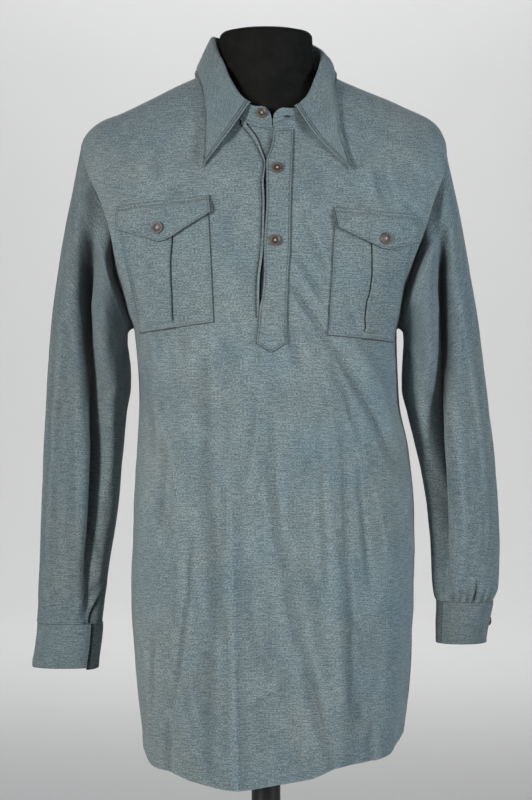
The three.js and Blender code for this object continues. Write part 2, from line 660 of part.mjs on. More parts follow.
function walled(rows, normalAt, { closed = false, wall = clothWall, kept } = {}) {
  const outer = trimEdges(rows, closed, normalAt);
  const inner = outer.map((row, j) => row.map((p, i) => p.clone().addScaledVector(normalAt(rows[j][i]), -wall)));
  return solidBetween(outer, inner, { closed, kept });
}

// Collar
const foldPoint = (turn, height) => {
  const p = neckline(turn);
  const lean = 1 - (standLean * height) / 30 / neckHalf;
  return vec(p.x * lean, p.y * lean, p.z + height);
};
// The panels' own neck edge, straight between their points.
const neckTurns = [...frontNeckAngles.slice(frontNeckAngles.indexOf(slitAngles.left)), ...backNeckAngles.slice(1)];
neckTurns.push(...frontNeckAngles.slice(1, frontNeckAngles.indexOf(slitAngles.left) + 1).map((turn) => turn + 360));
function neckEdge(turn) {
  const at = turn < neckTurns[0] ? turn + 360 : turn;
  const i = Math.max(1, neckTurns.findIndex((t) => t >= at));
  const [a, b] = [neckTurns[i - 1], neckTurns[i]];
  return neckline(a).lerp(neckline(b), (at - a) / (b - a));
}
// Turns for the collar's columns: those of the neck edge and the middles between them.
const collarTurns = (from, to) =>
  neckTurns.flatMap((t, i) => (i ? [(neckTurns[i - 1] + t) / 2, t] : [t])).filter((t) => t > from && t < to);
const collarHeight = (turn) => read(collarHeights, "turn", turn, "height");

function collarStand() {
  const low = [];
  const mid = [];
  const high = [];
  const endSteps = standEndRound.map((d) => (d / neckFront) * (180 / Math.PI));
  const turns = [
    ...endSteps.map((a) => standEnds.left + a),
    ...collarTurns(standEnds.left + 15, standEnds.right - 15),
    ...endSteps.map((a) => standEnds.right - a).reverse(),
  ];
  for (const turn of turns) {
    const fromEnd = Math.min(turn - standEnds.left, standEnds.right - turn) * (Math.PI / 180) * neckFront;
    const across = clamp(1 - fromEnd / standEndRound[standEndRound.length - 1], 0, 1);
    const drop = standEndDrop * (1 - Math.sqrt(1 - across * across));
    const height = collarHeight(turn % 360) - drop;
    const rise = Math.min(2, standLift / Math.max(0.35, Math.abs(Math.cos(rad(turn)))));
    const overSlit = turn < slitAngles.left || turn > slitAngles.right + 360;
    low.push((overSlit ? neckline(turn) : neckEdge(turn)).add(vec(0, 0, rise)));
    mid.push(foldPoint(turn, height / 2));
    high.push(foldPoint(turn, height));
  }
  const outer = [low, mid, high];
  const inner = outer.map((row) =>
    row.map((p) => {
      const inwards = vec(p.x, p.y, 0).normalize();
      return p.clone().addScaledVector(inwards, -standWall);
    }),
  );
  return solidBetween(outer, inner);
}

function collarLeaf() {
  const rows = leafEdge.map((row) => ({
    ...row,
    y: row.y ?? depth(row.x, row.z, true) - leafClear - pliedWall,
  }));
  const [first, last] = [rows[0].turn, rows[rows.length - 1].turn];
  const turns = [first, ...collarTurns(first + 3, last - 3), last];
  const outer = [...leafRows.map(() => []), [], [], []];
  for (const turn of turns) {
    const height = collarHeight(turn);
    const fold = foldPoint(turn, height);
    const out = vec(Math.sin(rad(turn)), -Math.cos(rad(turn)), 0);
    const edge = vec(
      read(rows, "turn", turn, "x"),
      read(rows, "turn", turn, "y"),
      read(rows, "turn", turn, "z"),
    );
    const shoulder = fold.clone().addScaledVector(out, rollWidth + 1).add(vec(0, 0, rollLift - 1.6));
    leafRows.forEach((share, j) => {
      const p = edge.clone().lerp(shoulder, share);
      p.addScaledVector(out, 2.2 * Math.sin(Math.PI * share));
      if (turn < 80 || turn > 280) p.y = Math.min(p.y, depth(p.x, p.z, true) - leafClear - pliedWall);
      outer[j].push(p);
    });
    outer[leafRows.length].push(shoulder);
    outer[leafRows.length + 1].push(fold.clone().addScaledVector(out, rollWidth - 1.2).add(vec(0, 0, rollLift)));
    outer[leafRows.length + 2].push(fold.clone().addScaledVector(out, -1.4).add(vec(0, 0, rollLift - 0.2)));
  }
  const normalAt = sharedNormals([[{ rows: outer }]]);
  const inner = outer.map((row) => row.map((p) => p.clone().addScaledVector(normalAt(p), -pliedWall)));
  return solidBetween(outer, inner);
}

// Strips and patches on the front panel, made from its points and moved out.
function patch(columns, rowShares, placeAt, liftAt, wall = pliedWall) {
  const grid = (extra) =>
    rowShares.map((v) =>
      columns.map((u) => {
        const { x, z } = placeAt(u, v);
        return raisedFront(x, z, liftAt(u, v) + extra);
      }),
    );
  return { outer: grid(wall), inner: grid(0) };
}

function placket(table, point, lift) {
  const bottomZ = table[table.length - 1].z;
  const topZ = table[0].z;
  const rising = [...table].reverse();
  const placeAt = (u, v) => {
    const tip = point * (1 - Math.abs(2 * u - 1));
    const rowZ = lerp(bottomZ, topZ, v);
    const z = rowZ - tip * (1 - smoothstep(v, 0, 0.12));
    return { x: lerp(read(rising, "z", rowZ, "from"), read(rising, "z", rowZ, "to"), u), z };
  };
  const { outer, inner } = patch(steps(placketCells), steps(placketRows), placeAt, () => lift);
  return solidBetween(outer, inner);
}

const ordered = (side, columns) => (side > 0 ? columns : [...columns].reverse());

// The place at a share of the way along the cloth from a to b, two places seen from the front.
function alongCloth(a, b, share) {
  const places = steps(20).map((f) => ({ x: lerp(a.x, b.x, f), z: lerp(a.z, b.z, f) }));
  const walked = [0];
  places.slice(1).forEach((p, i) => {
    walked.push(walked[i] + onFront(p.x, p.z).distanceTo(onFront(places[i].x, places[i].z)));
  });
  const wanted = share * walked[walked.length - 1];
  const i = Math.max(1, walked.findIndex((length) => length >= wanted - 1e-6));
  const f = (wanted - walked[i - 1]) / (walked[i] - walked[i - 1]);
  return { x: lerp(places[i - 1].x, places[i].x, f), z: lerp(places[i - 1].z, places[i].z, f) };
}

function pocket({ side, top, bottom }) {
  const placeAt = (u, v) => {
    const inner = { x: side * lerp(bottom.innerX, top.innerX, v), z: lerp(bottom.innerZ, top.innerZ, v) };
    const outer = { x: side * lerp(bottom.outerX, top.outerX, v), z: lerp(bottom.outerZ, top.outerZ, v) };
    return alongCloth(inner, outer, u);
  };
  const isPleat = (u) => u >= pleatSpan.from && u <= pleatSpan.to;
  const columns = ordered(side, pocketColumns);
  const shares = steps(pocketRows);
  const { inner } = patch(columns, shares, placeAt, () => pocketGap);
  const outer = patch(columns, shares, placeAt, (u) => pocketGap + (isPleat(u) ? pleatRise : 0)).outer;
  return solidBetween(outer, inner);
}

function pocketFlap({ side, flapTop, flapLow }) {
  const lowEdge = (u) =>
    u < 0.5
      ? vec(lerp(flapLow.innerX, flapLow.pointX, u * 2), 0, lerp(flapLow.innerZ, flapLow.pointZ, u * 2))
      : vec(lerp(flapLow.pointX, flapLow.outerX, u * 2 - 1), 0, lerp(flapLow.pointZ, flapLow.outerZ, u * 2 - 1));
  const placeAt = (u, v) => {
    const low = lowEdge(u);
    const x = lerp(lerp(flapTop.innerX, flapTop.outerX, u), low.x, v);
    return { x: side * x, z: lerp(lerp(flapTop.innerZ, flapTop.outerZ, u), low.z, v) };
  };
  const rise = (v) => lerp(layerGap, flapLift, smoothstep(v, 0, 0.3));
  const columns = ordered(side, steps(flapColumns));
  const { outer, inner } = patch(columns, [...flapRows].reverse(), placeAt, (u, v) => rise(v));
  return solidBetween(outer, inner);
}

function button(radius) {
  const disc = new THREE.Shape().absarc(0, 0, radius, 0, Math.PI * 2);
  for (const side of [-1, 1]) {
    const hole = new THREE.Path().absarc((side * buttonHole.apart) / 2, 0, buttonHole.radius, 0, Math.PI * 2, true);
    disc.holes.push(hole);
  }
  return new THREE.ExtrudeGeometry(disc, { depth: buttonThick, bevelEnabled: false, curveSegments: 8 });
}

// Display form, pole and base
function displayForm() {
  const turns = steps(formCells).slice(0, -1).map((f) => f * 360);
  const positions = [];
  const faces = [];
  for (const ring of formRings) {
    for (const turn of turns) {
      const c = Math.cos(rad(turn));
      const s = Math.sin(rad(turn));
      const x = Math.sign(c) * Math.pow(Math.abs(c), 2 / ring.across) * ring.half;
      const reach = s < 0 ? ring.front : ring.back;
      positions.push(x, Math.sign(s) * Math.pow(Math.abs(s), 2 * ring.fall) * reach, ring.z);
    }
  }
  const count = turns.length;
  for (let j = 0; j + 1 < formRings.length; j += 1) {
    for (let i = 0; i < count; i += 1) {
      const next = (i + 1) % count;
      const [a, b, c, d] = [j * count + i, j * count + next, (j + 1) * count + next, (j + 1) * count + i];
      faces.push(a, b, c, a, c, d);
    }
  }
  const topMiddle = positions.length / 3;
  const lastRing = (formRings.length - 1) * count;
  positions.push(0, -3, formTop, 0, 0, formRings[0].z);
  for (let i = 0; i < count; i += 1) {
    const next = (i + 1) % count;
    faces.push(lastRing + i, lastRing + next, topMiddle);
    faces.push(next, i, topMiddle + 1);
  }
  const geometry = new THREE.BufferGeometry();
  geometry.setAttribute("position", new THREE.Float32BufferAttribute(positions, 3));
  geometry.setIndex(faces);
  geometry.computeVertexNormals();
  return geometry;
}

function roundBase() {
  const { radius, thick, edge, hubRadius, hubTop } = base;
  const profile = [
    [0, 0],
    [radius - edge / 2, 0],
    [radius, edge / 2],
    [radius, thick - edge],
    [radius - edge, thick],
    [hubRadius + edge, thick],
    [hubRadius, thick + edge],
    [hubRadius, hubTop - edge],
    [hubRadius - edge, hubTop],
    [0, hubTop],
  ].map(([r, z]) => new THREE.Vector2(r, z));
  return new THREE.LatheGeometry(profile, baseSides).rotateX(Math.PI / 2);
}

// Assembly
const part = new THREE.Group();
function add(name, geometry, look) {
  const mesh = new THREE.Mesh(geometry, new THREE.MeshStandardMaterial(look));
  mesh.name = name;
  part.add(mesh);
  return mesh;
}
function addButton(name, place, normal, radius = buttonRadius) {
  const mesh = add(name, button(radius), buttonLook);
  mesh.position.copy(place);
  mesh.quaternion.setFromUnitVectors(vec(0, 0, 1), normal);
}

const front = bodyPanel(true);
const back = bodyPanel(false);
const loops = { right: armhole(front.rows, back.rows, "right"), left: armhole(front.rows, back.rows, "left") };
const sleeves = { right: sleeve("right", loops.right), left: sleeve("left", loops.left) };
const normalAt = sharedNormals([
  [{ rows: front.rows }, { rows: back.rows }],
  [{ rows: sleeves.right, closed: true }],
  [{ rows: sleeves.left, closed: true }],
]);

const slitColumn = front.columns.findIndex((c) => c.turn === slitAngles.right);
const slitRow = front.rows.findIndex((row) => row[slitColumn].z > slitBottomZ);
add("front", walled(front.rows, normalAt, { kept: (i, j) => i !== slitColumn || j < slitRow }), clothLook);
add("back", walled(back.rows, normalAt), clothLook);
for (const side of ["right", "left"]) {
  add(`sleeve_${side}`, walled(sleeves[side], normalAt, { closed: true }), clothLook);
  const band = cuff(side);
  const bandNormal = sharedNormals([[{ rows: band }]]);
  const inner = band.map((row) => row.map((p) => p.clone().addScaledVector(bandNormal(p), -pliedWall)));
  add(`cuff_${side}`, solidBetween(band, inner), clothLook);
  add(`pocket_${side}`, pocket(pockets[side]), clothLook);
  add(`flap_${side}`, pocketFlap(pockets[side]), clothLook);
  const { x, z } = pockets[side].button;
  const at = pockets[side].side * x;
  addButton(`pocket_button_${side}`, raisedFront(at, z, flapLift + pliedWall + layerGap), frontNormal(at, z));
}
add("placket_over", placket(placketOver, placketPoint, layerGap), clothLook);
add("placket_under", placket(placketUnder, 0, -clothWall - 2 * layerGap - pliedWall), clothLook);
add("collar_stand", collarStand(), clothLook);
add("collar_leaf", collarLeaf(), clothLook);

const placketButtons = [
  { x: 13.5, z: 1025 },
  { x: 11, z: 937 },
];
placketButtons.forEach(({ x, z }, i) => {
  addButton(`placket_button_${i + 1}`, raisedFront(x, z, 2 * layerGap + pliedWall), frontNormal(x, z));
});

const collarButton = { turn: 356, height: 18 };
const collarSeat = foldPoint(collarButton.turn, collarButton.height);
const collarOut = vec(collarSeat.x, collarSeat.y, 0).setLength(30).add(vec(0, 0, standLean)).normalize();
addButton("collar_button", collarSeat.addScaledVector(collarOut, 2 * layerGap), collarOut, smallButtonRadius);

const cuffButton = { turn: 22, ring: 1 };
const wrist = cuffs.left.rings[cuffButton.ring];
const wristRing = { ...wrist, outZ: wrist.z, inZ: wrist.z };
const wristMiddle = vec((wrist.outX + wrist.inX) / 2, wrist.mid, wrist.z);
const wristSeat = ringPoint(wristRing, cuffButton.turn, 1, sleevePower);
const wristOut = wristSeat.clone().sub(wristMiddle).normalize();
const wristLift = cuffs.left.lap + 3 * layerGap;
addButton("cuff_button_left", wristSeat.clone().addScaledVector(wristOut, wristLift), wristOut, smallButtonRadius);

add("display_form", displayForm(), formLook);
const poleBottom = base.hubTop + seamGap;
const poleTop = formRings[0].z - seamGap;
const pole = new THREE.CylinderGeometry(poleRadius, poleRadius, poleTop - poleBottom, poleSides);
add("pole", pole.rotateX(Math.PI / 2).translate(0, 0, (poleTop + poleBottom) / 2), standLook);
add("base", roundBase(), standLook);

export default part;
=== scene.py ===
# A long pullover service shirt on a limbless display form with a pole and a round base.
# Tables are in millimetres and degrees, as in the CAD source. The front faces -Y and
# "right" is the wearer's right, at -X.
import math

import bpy
import numpy as np
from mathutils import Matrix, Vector


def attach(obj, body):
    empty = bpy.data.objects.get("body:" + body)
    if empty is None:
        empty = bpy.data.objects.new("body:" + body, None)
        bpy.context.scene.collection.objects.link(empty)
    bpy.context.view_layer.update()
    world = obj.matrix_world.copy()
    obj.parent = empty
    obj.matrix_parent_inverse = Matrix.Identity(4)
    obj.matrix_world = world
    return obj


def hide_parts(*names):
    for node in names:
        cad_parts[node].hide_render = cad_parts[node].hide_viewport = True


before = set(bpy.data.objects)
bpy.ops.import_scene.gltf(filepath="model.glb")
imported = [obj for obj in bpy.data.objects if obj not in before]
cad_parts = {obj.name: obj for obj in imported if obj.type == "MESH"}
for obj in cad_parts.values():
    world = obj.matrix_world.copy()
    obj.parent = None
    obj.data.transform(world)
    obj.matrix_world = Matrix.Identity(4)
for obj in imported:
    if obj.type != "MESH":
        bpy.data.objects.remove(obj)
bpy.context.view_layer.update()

# Small helpers


def smooth(value, low, high):
    t = np.clip((np.asarray(value, float) - low) / (high - low), 0, 1)
    return t * t * (3 - 2 * t)


def mix(a, b, t):
    return a + (b - a) * t


def bell(value, middle, width):
    return np.exp(-(((value - middle) / width) ** 2))


def vec(*parts):
    return np.stack(np.broadcast_arrays(*[np.asarray(p, float) for p in parts]), -1)


def unit(v):
    return v / np.maximum(np.linalg.norm(v, axis=-1, keepdims=True), 1e-9)


def table(names, rows):
    return {name: np.array(column, float) for name, column in zip(names.split(), zip(*rows))}


def read(rows, along, at, column):
    # A smooth curve through a table's rows that never overshoots them
    x, y = rows[along], rows[column]
    rate = np.diff(y) / np.diff(x)
    slopes = np.zeros(len(x))
    product = rate[:-1] * rate[1:]
    total = rate[:-1] + rate[1:]
    slopes[1:-1] = np.where(product > 0, 2 * product / np.where(total == 0, 1, total), 0)
    at = np.clip(np.asarray(at, float), x[0], x[-1])
    i = np.clip(np.searchsorted(x, at, side="right") - 1, 0, len(x) - 2)
    width = x[i + 1] - x[i]
    t = (at - x[i]) / width
    return (
        y[i] * (2 * t**3 - 3 * t**2 + 1)
        + y[i + 1] * (3 * t**2 - 2 * t**3)
        + slopes[i] * width * (t**3 - 2 * t**2 + t)
        + slopes[i + 1] * width * (t**3 - t**2)
    )


def softNoise(u, v, seed):
    # Smooth random hills about one unit wide, from -1 to 1
    values = np.random.default_rng(seed).uniform(-1, 1, (64, 64))
    u, v = np.broadcast_arrays(np.asarray(u, float) + 500, np.asarray(v, float) + 500)
    i, j = np.floor(u).astype(int), np.floor(v).astype(int)
    s, t = u - i, v - j
    s, t = s * s * (3 - 2 * s), t * t * (3 - 2 * t)
    at = lambda a, b: values[a % 64, b % 64]
    low = mix(at(i, j), at(i + 1, j), s)
    return mix(low, mix(at(i, j + 1), at(i + 1, j + 1), s), t)


# Shapes shared with the CAD source

neck = dict(half=76, front=72, back=62, pointZ=1154, drop=76, nape=5, fade=55)
body = dict(armpitZ=833, power=2.3, ridgeY=4, shoulderRound=70, ventTop=496, ventHalfGap=3,
            slitBottomZ=838, slitShift=3, crowding=1.5, hemStart=0.88, hemRise=18, backFlare=2,
            shoulderCells=7, slitColumn=12)
frontNeckAngles = [-90, -74, -60, -46, -32, -19, 8.5, 22, 37, 53, 71, 90]
backNeckAngles = [90, 108, 126, 144, 162, 180, 198, 216, 234, 252, 270]
slitEdge = table("z x band", [
    (838, -8, 3), (866, -8.4, 3), (884, -8.2, 3), (902, -6.8, 3), (923, -3.8, 3), (947, -2.6, 2.6),
    (986, -2, 2.4), (1010, -3, 2.4), (1031, -0.8, 1.6), (1050, -6, 3), (1066, -12.6, 5), (1074, -17.5, 5.5),
    (1085, -24.7, 6)])
bodyLevels = table("z right left front back flare", [
    (280, 150, 166, 119, 108, 1), (396, 161, 178, 123, 108, 1), (496, 167, 183, 125, 107, 1),
    (601, 165, 185, 127, 106, 1), (683, 161, 178, 129, 106, 1), (746, 158, 166, 130, 107, 1),
    (833, 164, 163, 131, 110, 1), (852, 168, 164, 130, 112, 1.035), (880, 174, 167, 129, 113, 1.08),
    (915, 183, 179, 126, 114, 1.15), (953, 191, 194, 121, 112, 1.19), (988, 202, 205, 112, 107, 1.19),
    (1020, 217, 217, 100, 97, 1.19), (1052, 227, 225, 84, 82, 1.2), (1080, 232, 228, 72, 68, 1.2),
    (1160, 240, 236, 54, 52, 1.2)])
shoulderLine = {
    "right": table("x z", [(0, 1184), (50, 1172), (76, 1154), (107, 1140), (145, 1121), (183, 1103),
                           (202, 1096), (217, 1086), (227, 1074), (231, 1065)]),
    "left": table("x z", [(0, 1184), (50, 1172), (76, 1154), (117, 1135), (152, 1121), (176, 1110),
                          (200, 1099), (214, 1088), (223, 1070), (225, 1052)])}
skirtFolds = {
    True: [(-66, 9, 4, 760), (-46, 8, -4, 700), (-16, 7, 5, 640), (6, 10, -4, 600), (24, 8, 4, 680),
           (42, 8, -5, 790), (58, 8, 4, 790), (76, 7, -4, 700)],
    False: [(-62, 10, 5, 800), (-38, 9, -5, 760), (-12, 9, 6, 820), (14, 10, -5, 780),
            (36, 9, 5, 740), (62, 9, -4, 700)]}
hems = {
    True: table("x z", [(-1, 300), (-0.85, 296), (-0.6, 285), (-0.23, 277), (0.12, 284), (0.33, 291),
                        (0.51, 303), (0.75, 307), (1, 315)]),
    False: table("x z", [(-1, 306), (-0.5, 293), (0, 290), (0.5, 294), (1, 312)])}


def neckline(turn):
    # 0 is the middle of the front, 90 the wearer's left
    a = np.radians(turn)
    s, c = np.sin(a), np.cos(a)
    rounded = np.maximum(0, 1 - np.abs(s) ** 1.7) ** (1 / 1.7)
    front = vec(neck["half"] * s, body["ridgeY"] * (1 - c) - neck["front"] * c,
                neck["pointZ"] - neck["drop"] * rounded)
    back = vec(neck["half"] * s, body["ridgeY"] * (1 + c) - neck["back"] * c,
               neck["pointZ"] - neck["nape"] * c)
    return np.where((c > 0)[..., None], front, back)


def bySide(x, right, left):
    return np.where(np.asarray(x) < 0, right, left)


def edgeX(x, z):
    return bySide(x, read(bodyLevels, "z", z, "right"), read(bodyLevels, "z", z, "left"))


def ridgeZ(x):
    return bySide(x, read(shoulderLine["right"], "x", np.abs(x), "z"),
                  read(shoulderLine["left"], "x", np.abs(x), "z"))


def plainDepth(x, z, front):
    half = edgeX(x, z) * read(bodyLevels, "z", z, "flare")
    share = np.minimum(1, np.abs(x) / half)
    across = (1 - share ** body["power"]) ** (1 / body["power"])
    fall = 1 - np.clip((ridgeZ(x) - z) / body["shoulderRound"], 0, 1)
    turned = np.sqrt(1 - fall * fall)
    middle = np.where(z < body["armpitZ"], 0, body["ridgeY"] * smooth(z, body["armpitZ"], neck["pointZ"]))
    if front:
        return middle - (read(bodyLevels, "z", z, "front") + middle) * across * turned
    return middle + (read(bodyLevels, "z", z, "back") - middle) * across * turned


def depth(x, z, front=True):
    x, z = np.broadcast_arrays(np.asarray(x, float), np.asarray(z, float))
    plain = plainDepth(x, z, front)
    turn = np.degrees(np.arcsin(np.clip(x / neck["half"], -1, 1)))
    rim = neckline(turn if front else 180 - turn)
    fade = 1 - smooth(rim[..., 2] - z, 0, neck["fade"])
    pulled = plain + (rim[..., 1] - plainDepth(x, rim[..., 2], front)) * fade
    return np.where(np.abs(x) < neck["half"], pulled, plain)


# Soft creases drawn as lines on the front: from, to, half width, rise and sideways bend
frontCreases = [
    (-74, 804, -55, 458, 14, -2.6, 6), (-60, 554, -72, 266, 14, -2.4, 0), (-45, 690, -32, 200, 5.5, 2.6, 0),
    (-88, 592, -114, 366, 4, -1.9, -4), (5, 782, 37, 446, 9, -2.6, 10), (29, 520, 86, 272, 11, -3.0, 0),
    (-10, 766, -23, 650, 5, -1.2, 0), (-26, 544, -10, 420, 6, -1.3, 0), (23, 852, 42, 776, 7, -2.2, 0),
    (62, 836, 160, 652, 6, -3.4, -9), (96, 826, 164, 672, 9, 2.4, -8), (77, 796, 108, 714, 6, -1.9, -3),
    (67, 668, 95, 262, 16, 2.4, -5), (92, 712, 104, 456, 6, -1.7, 0), (103, 508, 98, 336, 7, -1.3, 0),
    (112, 670, 128, 504, 4.5, -1.8, 1), (65, 682, 73, 516, 5, -1.6, 0), (-119, 712, -130, 576, 8, -1.5, 0),
    (-136, 484, -140, 360, 5, -1.3, 0), (-120, 360, -116, 262, 7, -2.4, 0),
    (127, 366, 130, 274, 7, -2.2, 0), (-31, 380, 16, 412, 4, 1.3, 2), (-29, 374, 12, 398, 3, -0.9, 2),
    (-100, 700, -92, 420, 9, 1.2, 3), (44, 968, 75, 900, 4.5, -1.7, 0), (33, 925, 72, 864, 4.5, -1.9, 0),
    (29, 886, 76, 818, 4.5, -2.8, 0), (52, 962, 84, 890, 5, 1.2, 0), (38, 902, 80, 836, 5, 1.3, 0),
    (95, 880, 113, 826, 5, -1.2, 0), (133, 1030, 146, 976, 6, -1.8, 0), (142, 1036, 158, 984, 6, -1.3, 2),
    (122, 1040, 132, 990, 6, 1.2, 0), (-165, 918, -153, 838, 6, -3.0, 0),
    (-134, 1048, -130, 1010, 12, -1.0, 0), (-120, 1004, -98, 996, 7, -1.2, 0),
    (-95, 1096, -150, 1070, 9, -0.9, 3), (95, 1096, 160, 1066, 9, -0.9, -3),
    (-36, 1010, -44, 900, 12, -0.8, 3), (-152, 800, -136, 640, 7, -1.6, -4),
    (100, 818, 150, 742, 5, 1.0, -4), (20, 640, 30, 420, 9, 1.2, 6)]
backCreases = [
    (-120, 1010, -40, 930, 14, -2.0, 6), (118, 1004, 48, 936, 14, -2.0, -6), (0, 1080, 4, 930, 20, -1.6, 0),
    (-70, 900, -110, 700, 12, 2.2, 6), (60, 880, 108, 690, 12, -2.2, -6), (-20, 820, -34, 560, 14, -2.0, 5),
    (24, 800, 40, 520, 13, 2.2, -5), (-130, 780, -118, 560, 10, -2.0, 4), (136, 760, 120, 520, 10, 2.0, -4),
    (-80, 560, -92, 380, 11, 1.8, 3), (88, 540, 70, 360, 11, -1.8, 3), (-150, 960, -120, 860, 9, 1.6, 0),
    (150, 950, 124, 850, 9, -1.6, 0), (0, 640, 10, 400, 12, 1.6, 4)]


def creaseRise(x, z, creases):
    total = np.zeros(np.broadcast(x, z).shape)
    for x1, z1, x2, z2, width, rise, bend in creases:
        length = math.hypot(x2 - x1, z2 - z1)
        ax, az = (x2 - x1) / length, (z2 - z1) / length
        t = np.clip(((x - x1) * ax + (z - z1) * az) / length, 0, 1)
        taper = np.sin(np.pi * t)
        across = (x - x1) * az - (z - z1) * ax - bend * taper
        spread = np.where(across > 0, width, width * 0.55)
        total = total + rise * bell(across, 0, spread) * taper**0.8
    return total


def clothRelief(x, z, front=True):
    seed = 11 if front else 31
    hills = 1.2 * softNoise(x / 46, z / 105, seed) + 0.8 * softNoise(x / 21, z / 44, seed + 1)
    hills = hills + 0.28 * softNoise(x / 7, z / 11, seed + 2)
    ridged = (1 - np.abs(softNoise(x / 17 + 0.012 * z, z / 75, seed + 3))) ** 3  # thin upright ridges
    hills = hills + 1.1 * ridged * (1 - smooth(z, 820, 900))
    slanted = (1 - np.abs(softNoise((x + 0.7 * z) / 26, (z - 0.7 * x) / 70, seed + 4))) ** 3
    hills = hills + 0.7 * slanted * smooth(z, 800, 880)
    calm = 1 - 0.6 * smooth(z, 1030, 1100)  # the cloth lies close to the form at the shoulders
    return (hills + 1.6 * creaseRise(x, z, frontCreases if front else backCreases)) * calm


def frontNormal(x, z):
    e = 1.5
    slopeX = (depth(x + e, z) - depth(x - e, z)) / (2 * e)
    slopeZ = (depth(x, z + e) - depth(x, z - e)) / (2 * e)
    return unit(vec(slopeX, -1, slopeZ))


def onFront(x, z, rise=0.0):
    x, z = np.broadcast_arrays(np.asarray(x, float), np.asarray(z, float))
    lift = clothRelief(x, z) + rise
    return vec(x, depth(x, z), z) + frontNormal(x, z) * np.asarray(lift)[..., None]


# Grids of points: rows from low to high, each anticlockwise seen from above, so that they face out


def gridNormals(grid, closed=False):
    if closed:
        across = np.roll(grid, -1, 1) - np.roll(grid, 1, 1)
    else:
        across = np.gradient(grid, axis=1)
    return unit(np.cross(across, np.gradient(grid, axis=0)))


def walkedAlong(grid, axis):
    steps = np.linalg.norm(np.diff(grid, axis=axis), axis=-1)
    start = np.zeros_like(np.take(steps, [0], axis))
    return np.concatenate([start, np.cumsum(steps, axis)], axis)


def edgeDistances(grid):
    # To the first column, last column, first row and last row
    rows, columns = walkedAlong(grid, 1), walkedAlong(grid, 0)
    return rows, rows[:, -1:] - rows, columns, columns[-1:] - columns


def spaced(grid, first, last, count):
    # The same surface with its columns at set distances from both ends of each row
    first, last = np.array(first, float), np.array(last, float)
    walked = walkedAlong(grid, 1)
    out = []
    for line, along in zip(grid, walked):
        total = along[-1]
        squeeze = min(1, total / (1.6 * (first[-1] + last[-1]) + 1e-9))
        a, b = first * squeeze, last * squeeze
        middle = np.linspace(a[-1], total - b[-1], count + 1)[1:-1]
        wanted = np.concatenate([a, middle, total - b[::-1]])
        out.append(np.stack([np.interp(wanted, along, line[:, k]) for k in range(3)], -1))
    return np.array(out)


def spacedRows(grid, first, last, count):
    return spaced(grid.transpose(1, 0, 2), first, last, count).transpose(1, 0, 2)


def makeMesh(name, points, faces, material, uv=None, marks=None, sharp=50):
    used = np.unique(np.concatenate([f.ravel() for f in faces]))
    remap = np.full(len(points), -1)
    remap[used] = np.arange(len(used))
    lists = [row for f in faces for row in remap[f].tolist()]
    mesh = bpy.data.meshes.new(name)
    mesh.from_pydata((points[used] / 1000).tolist(), [], lists)
    if uv is not None:
        layer = mesh.uv_layers.new(name="cloth")
        corners = np.zeros(len(mesh.loops), np.int32)
        mesh.loops.foreach_get("vertex_index", corners)
        layer.data.foreach_set("uv", (uv[used][corners] / 1000).astype(np.float32).ravel())
    for mark, values in (marks or {}).items():
        attribute = mesh.attributes.new(mark, "FLOAT", "POINT")
        attribute.data.foreach_set("value", values[used].astype(np.float32))
    mesh.shade_smooth()
    mesh.set_sharp_from_angle(angle=math.radians(sharp))
    mesh.materials.append(material)
    mesh.validate()
    piece = bpy.data.objects.new(name, mesh)
    bpy.context.scene.collection.objects.link(piece)
    return piece


def proud(relief, reach=5):
    # How far each point stands above the mean of its neighbours, from -1 to 1
    mean, span = relief, 2 * reach + 1
    for axis in (0, 1):
        padded = np.pad(mean, [(reach, reach) if a == axis else (0, 0) for a in (0, 1)], mode="edge")
        count = mean.shape[axis]
        mean = sum(np.take(padded, np.arange(k, k + count), axis) for k in range(span)) / span
    return np.clip((relief - mean) / 0.7, -1, 1)


def shellParts(outer, inner, closed=False, kept=None, bulge=0.35):
    # Points and faces of a closed shell with a rounded rim
    rows, columns = outer.shape[:2]
    count = rows * columns
    index = np.arange(count).reshape(rows, columns)
    if closed:
        index = np.hstack([index, index[:, :1]])
    quads = np.stack([index[:-1, :-1], index[:-1, 1:], index[1:, 1:], index[1:, :-1]], -1)
    quads = quads[np.ones(quads.shape[:2], bool) if kept is None else kept]
    edges = np.concatenate([quads[:, [k, (k + 1) % 4]] for k in range(4)])
    rim = edges[~np.isin(edges[:, 0] * count + edges[:, 1], edges[:, 1] * count + edges[:, 0])]
    a, b = outer.reshape(-1, 3), inner.reshape(-1, 3)
    thick = a - b
    outwards = unit(np.cross(a[rim[:, 1]] - a[rim[:, 0]], thick[rim[:, 0]]))
    push = np.zeros_like(a)
    np.add.at(push, rim[:, 0], outwards)
    np.add.at(push, rim[:, 1], outwards)
    middle = (a + b) / 2 + unit(push) * np.linalg.norm(thick, axis=1, keepdims=True) * bulge
    low, high = rim[:, 0], rim[:, 1]
    faces = [quads, quads[:, ::-1] + count,
             np.stack([high, low, low + 2 * count, high + 2 * count], -1),
             np.stack([high + 2 * count, low + 2 * count, low + count, high + count], -1)]
    return np.concatenate([a, b, middle]), faces


def makeShell(name, outer, thick, material, uv, marks=None, closed=False, kept=None, normals=None):
    normals = gridNormals(outer, closed) if normals is None else normals
    inner = outer - normals * np.asarray(thick, float).reshape(np.shape(thick) + (1,) * (3 - np.ndim(thick)))
    points, faces = shellParts(outer, inner, closed, kept)
    flatUv = np.tile(uv.reshape(-1, 2), (3, 1))
    plain = np.zeros(outer.shape[:2])
    # Marks: edge pales rubbed edges, the second mark is painted shade, and fold paints ridges lighter and
    # hollows darker
    shaped = {"edge": plain + 60.0, "paintedShade": plain, "fold": plain, **(marks or {})}
    flatMarks = {m: np.tile(np.broadcast_to(v, outer.shape[:2]).ravel(), 3) for m, v in shaped.items()}
    return makeMesh(name, points, faces, material, flatUv, flatMarks)


def place(piece, slot, *nodes):
    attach(piece, "root")
    if nodes:
        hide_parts(*nodes)
    return piece


# Materials


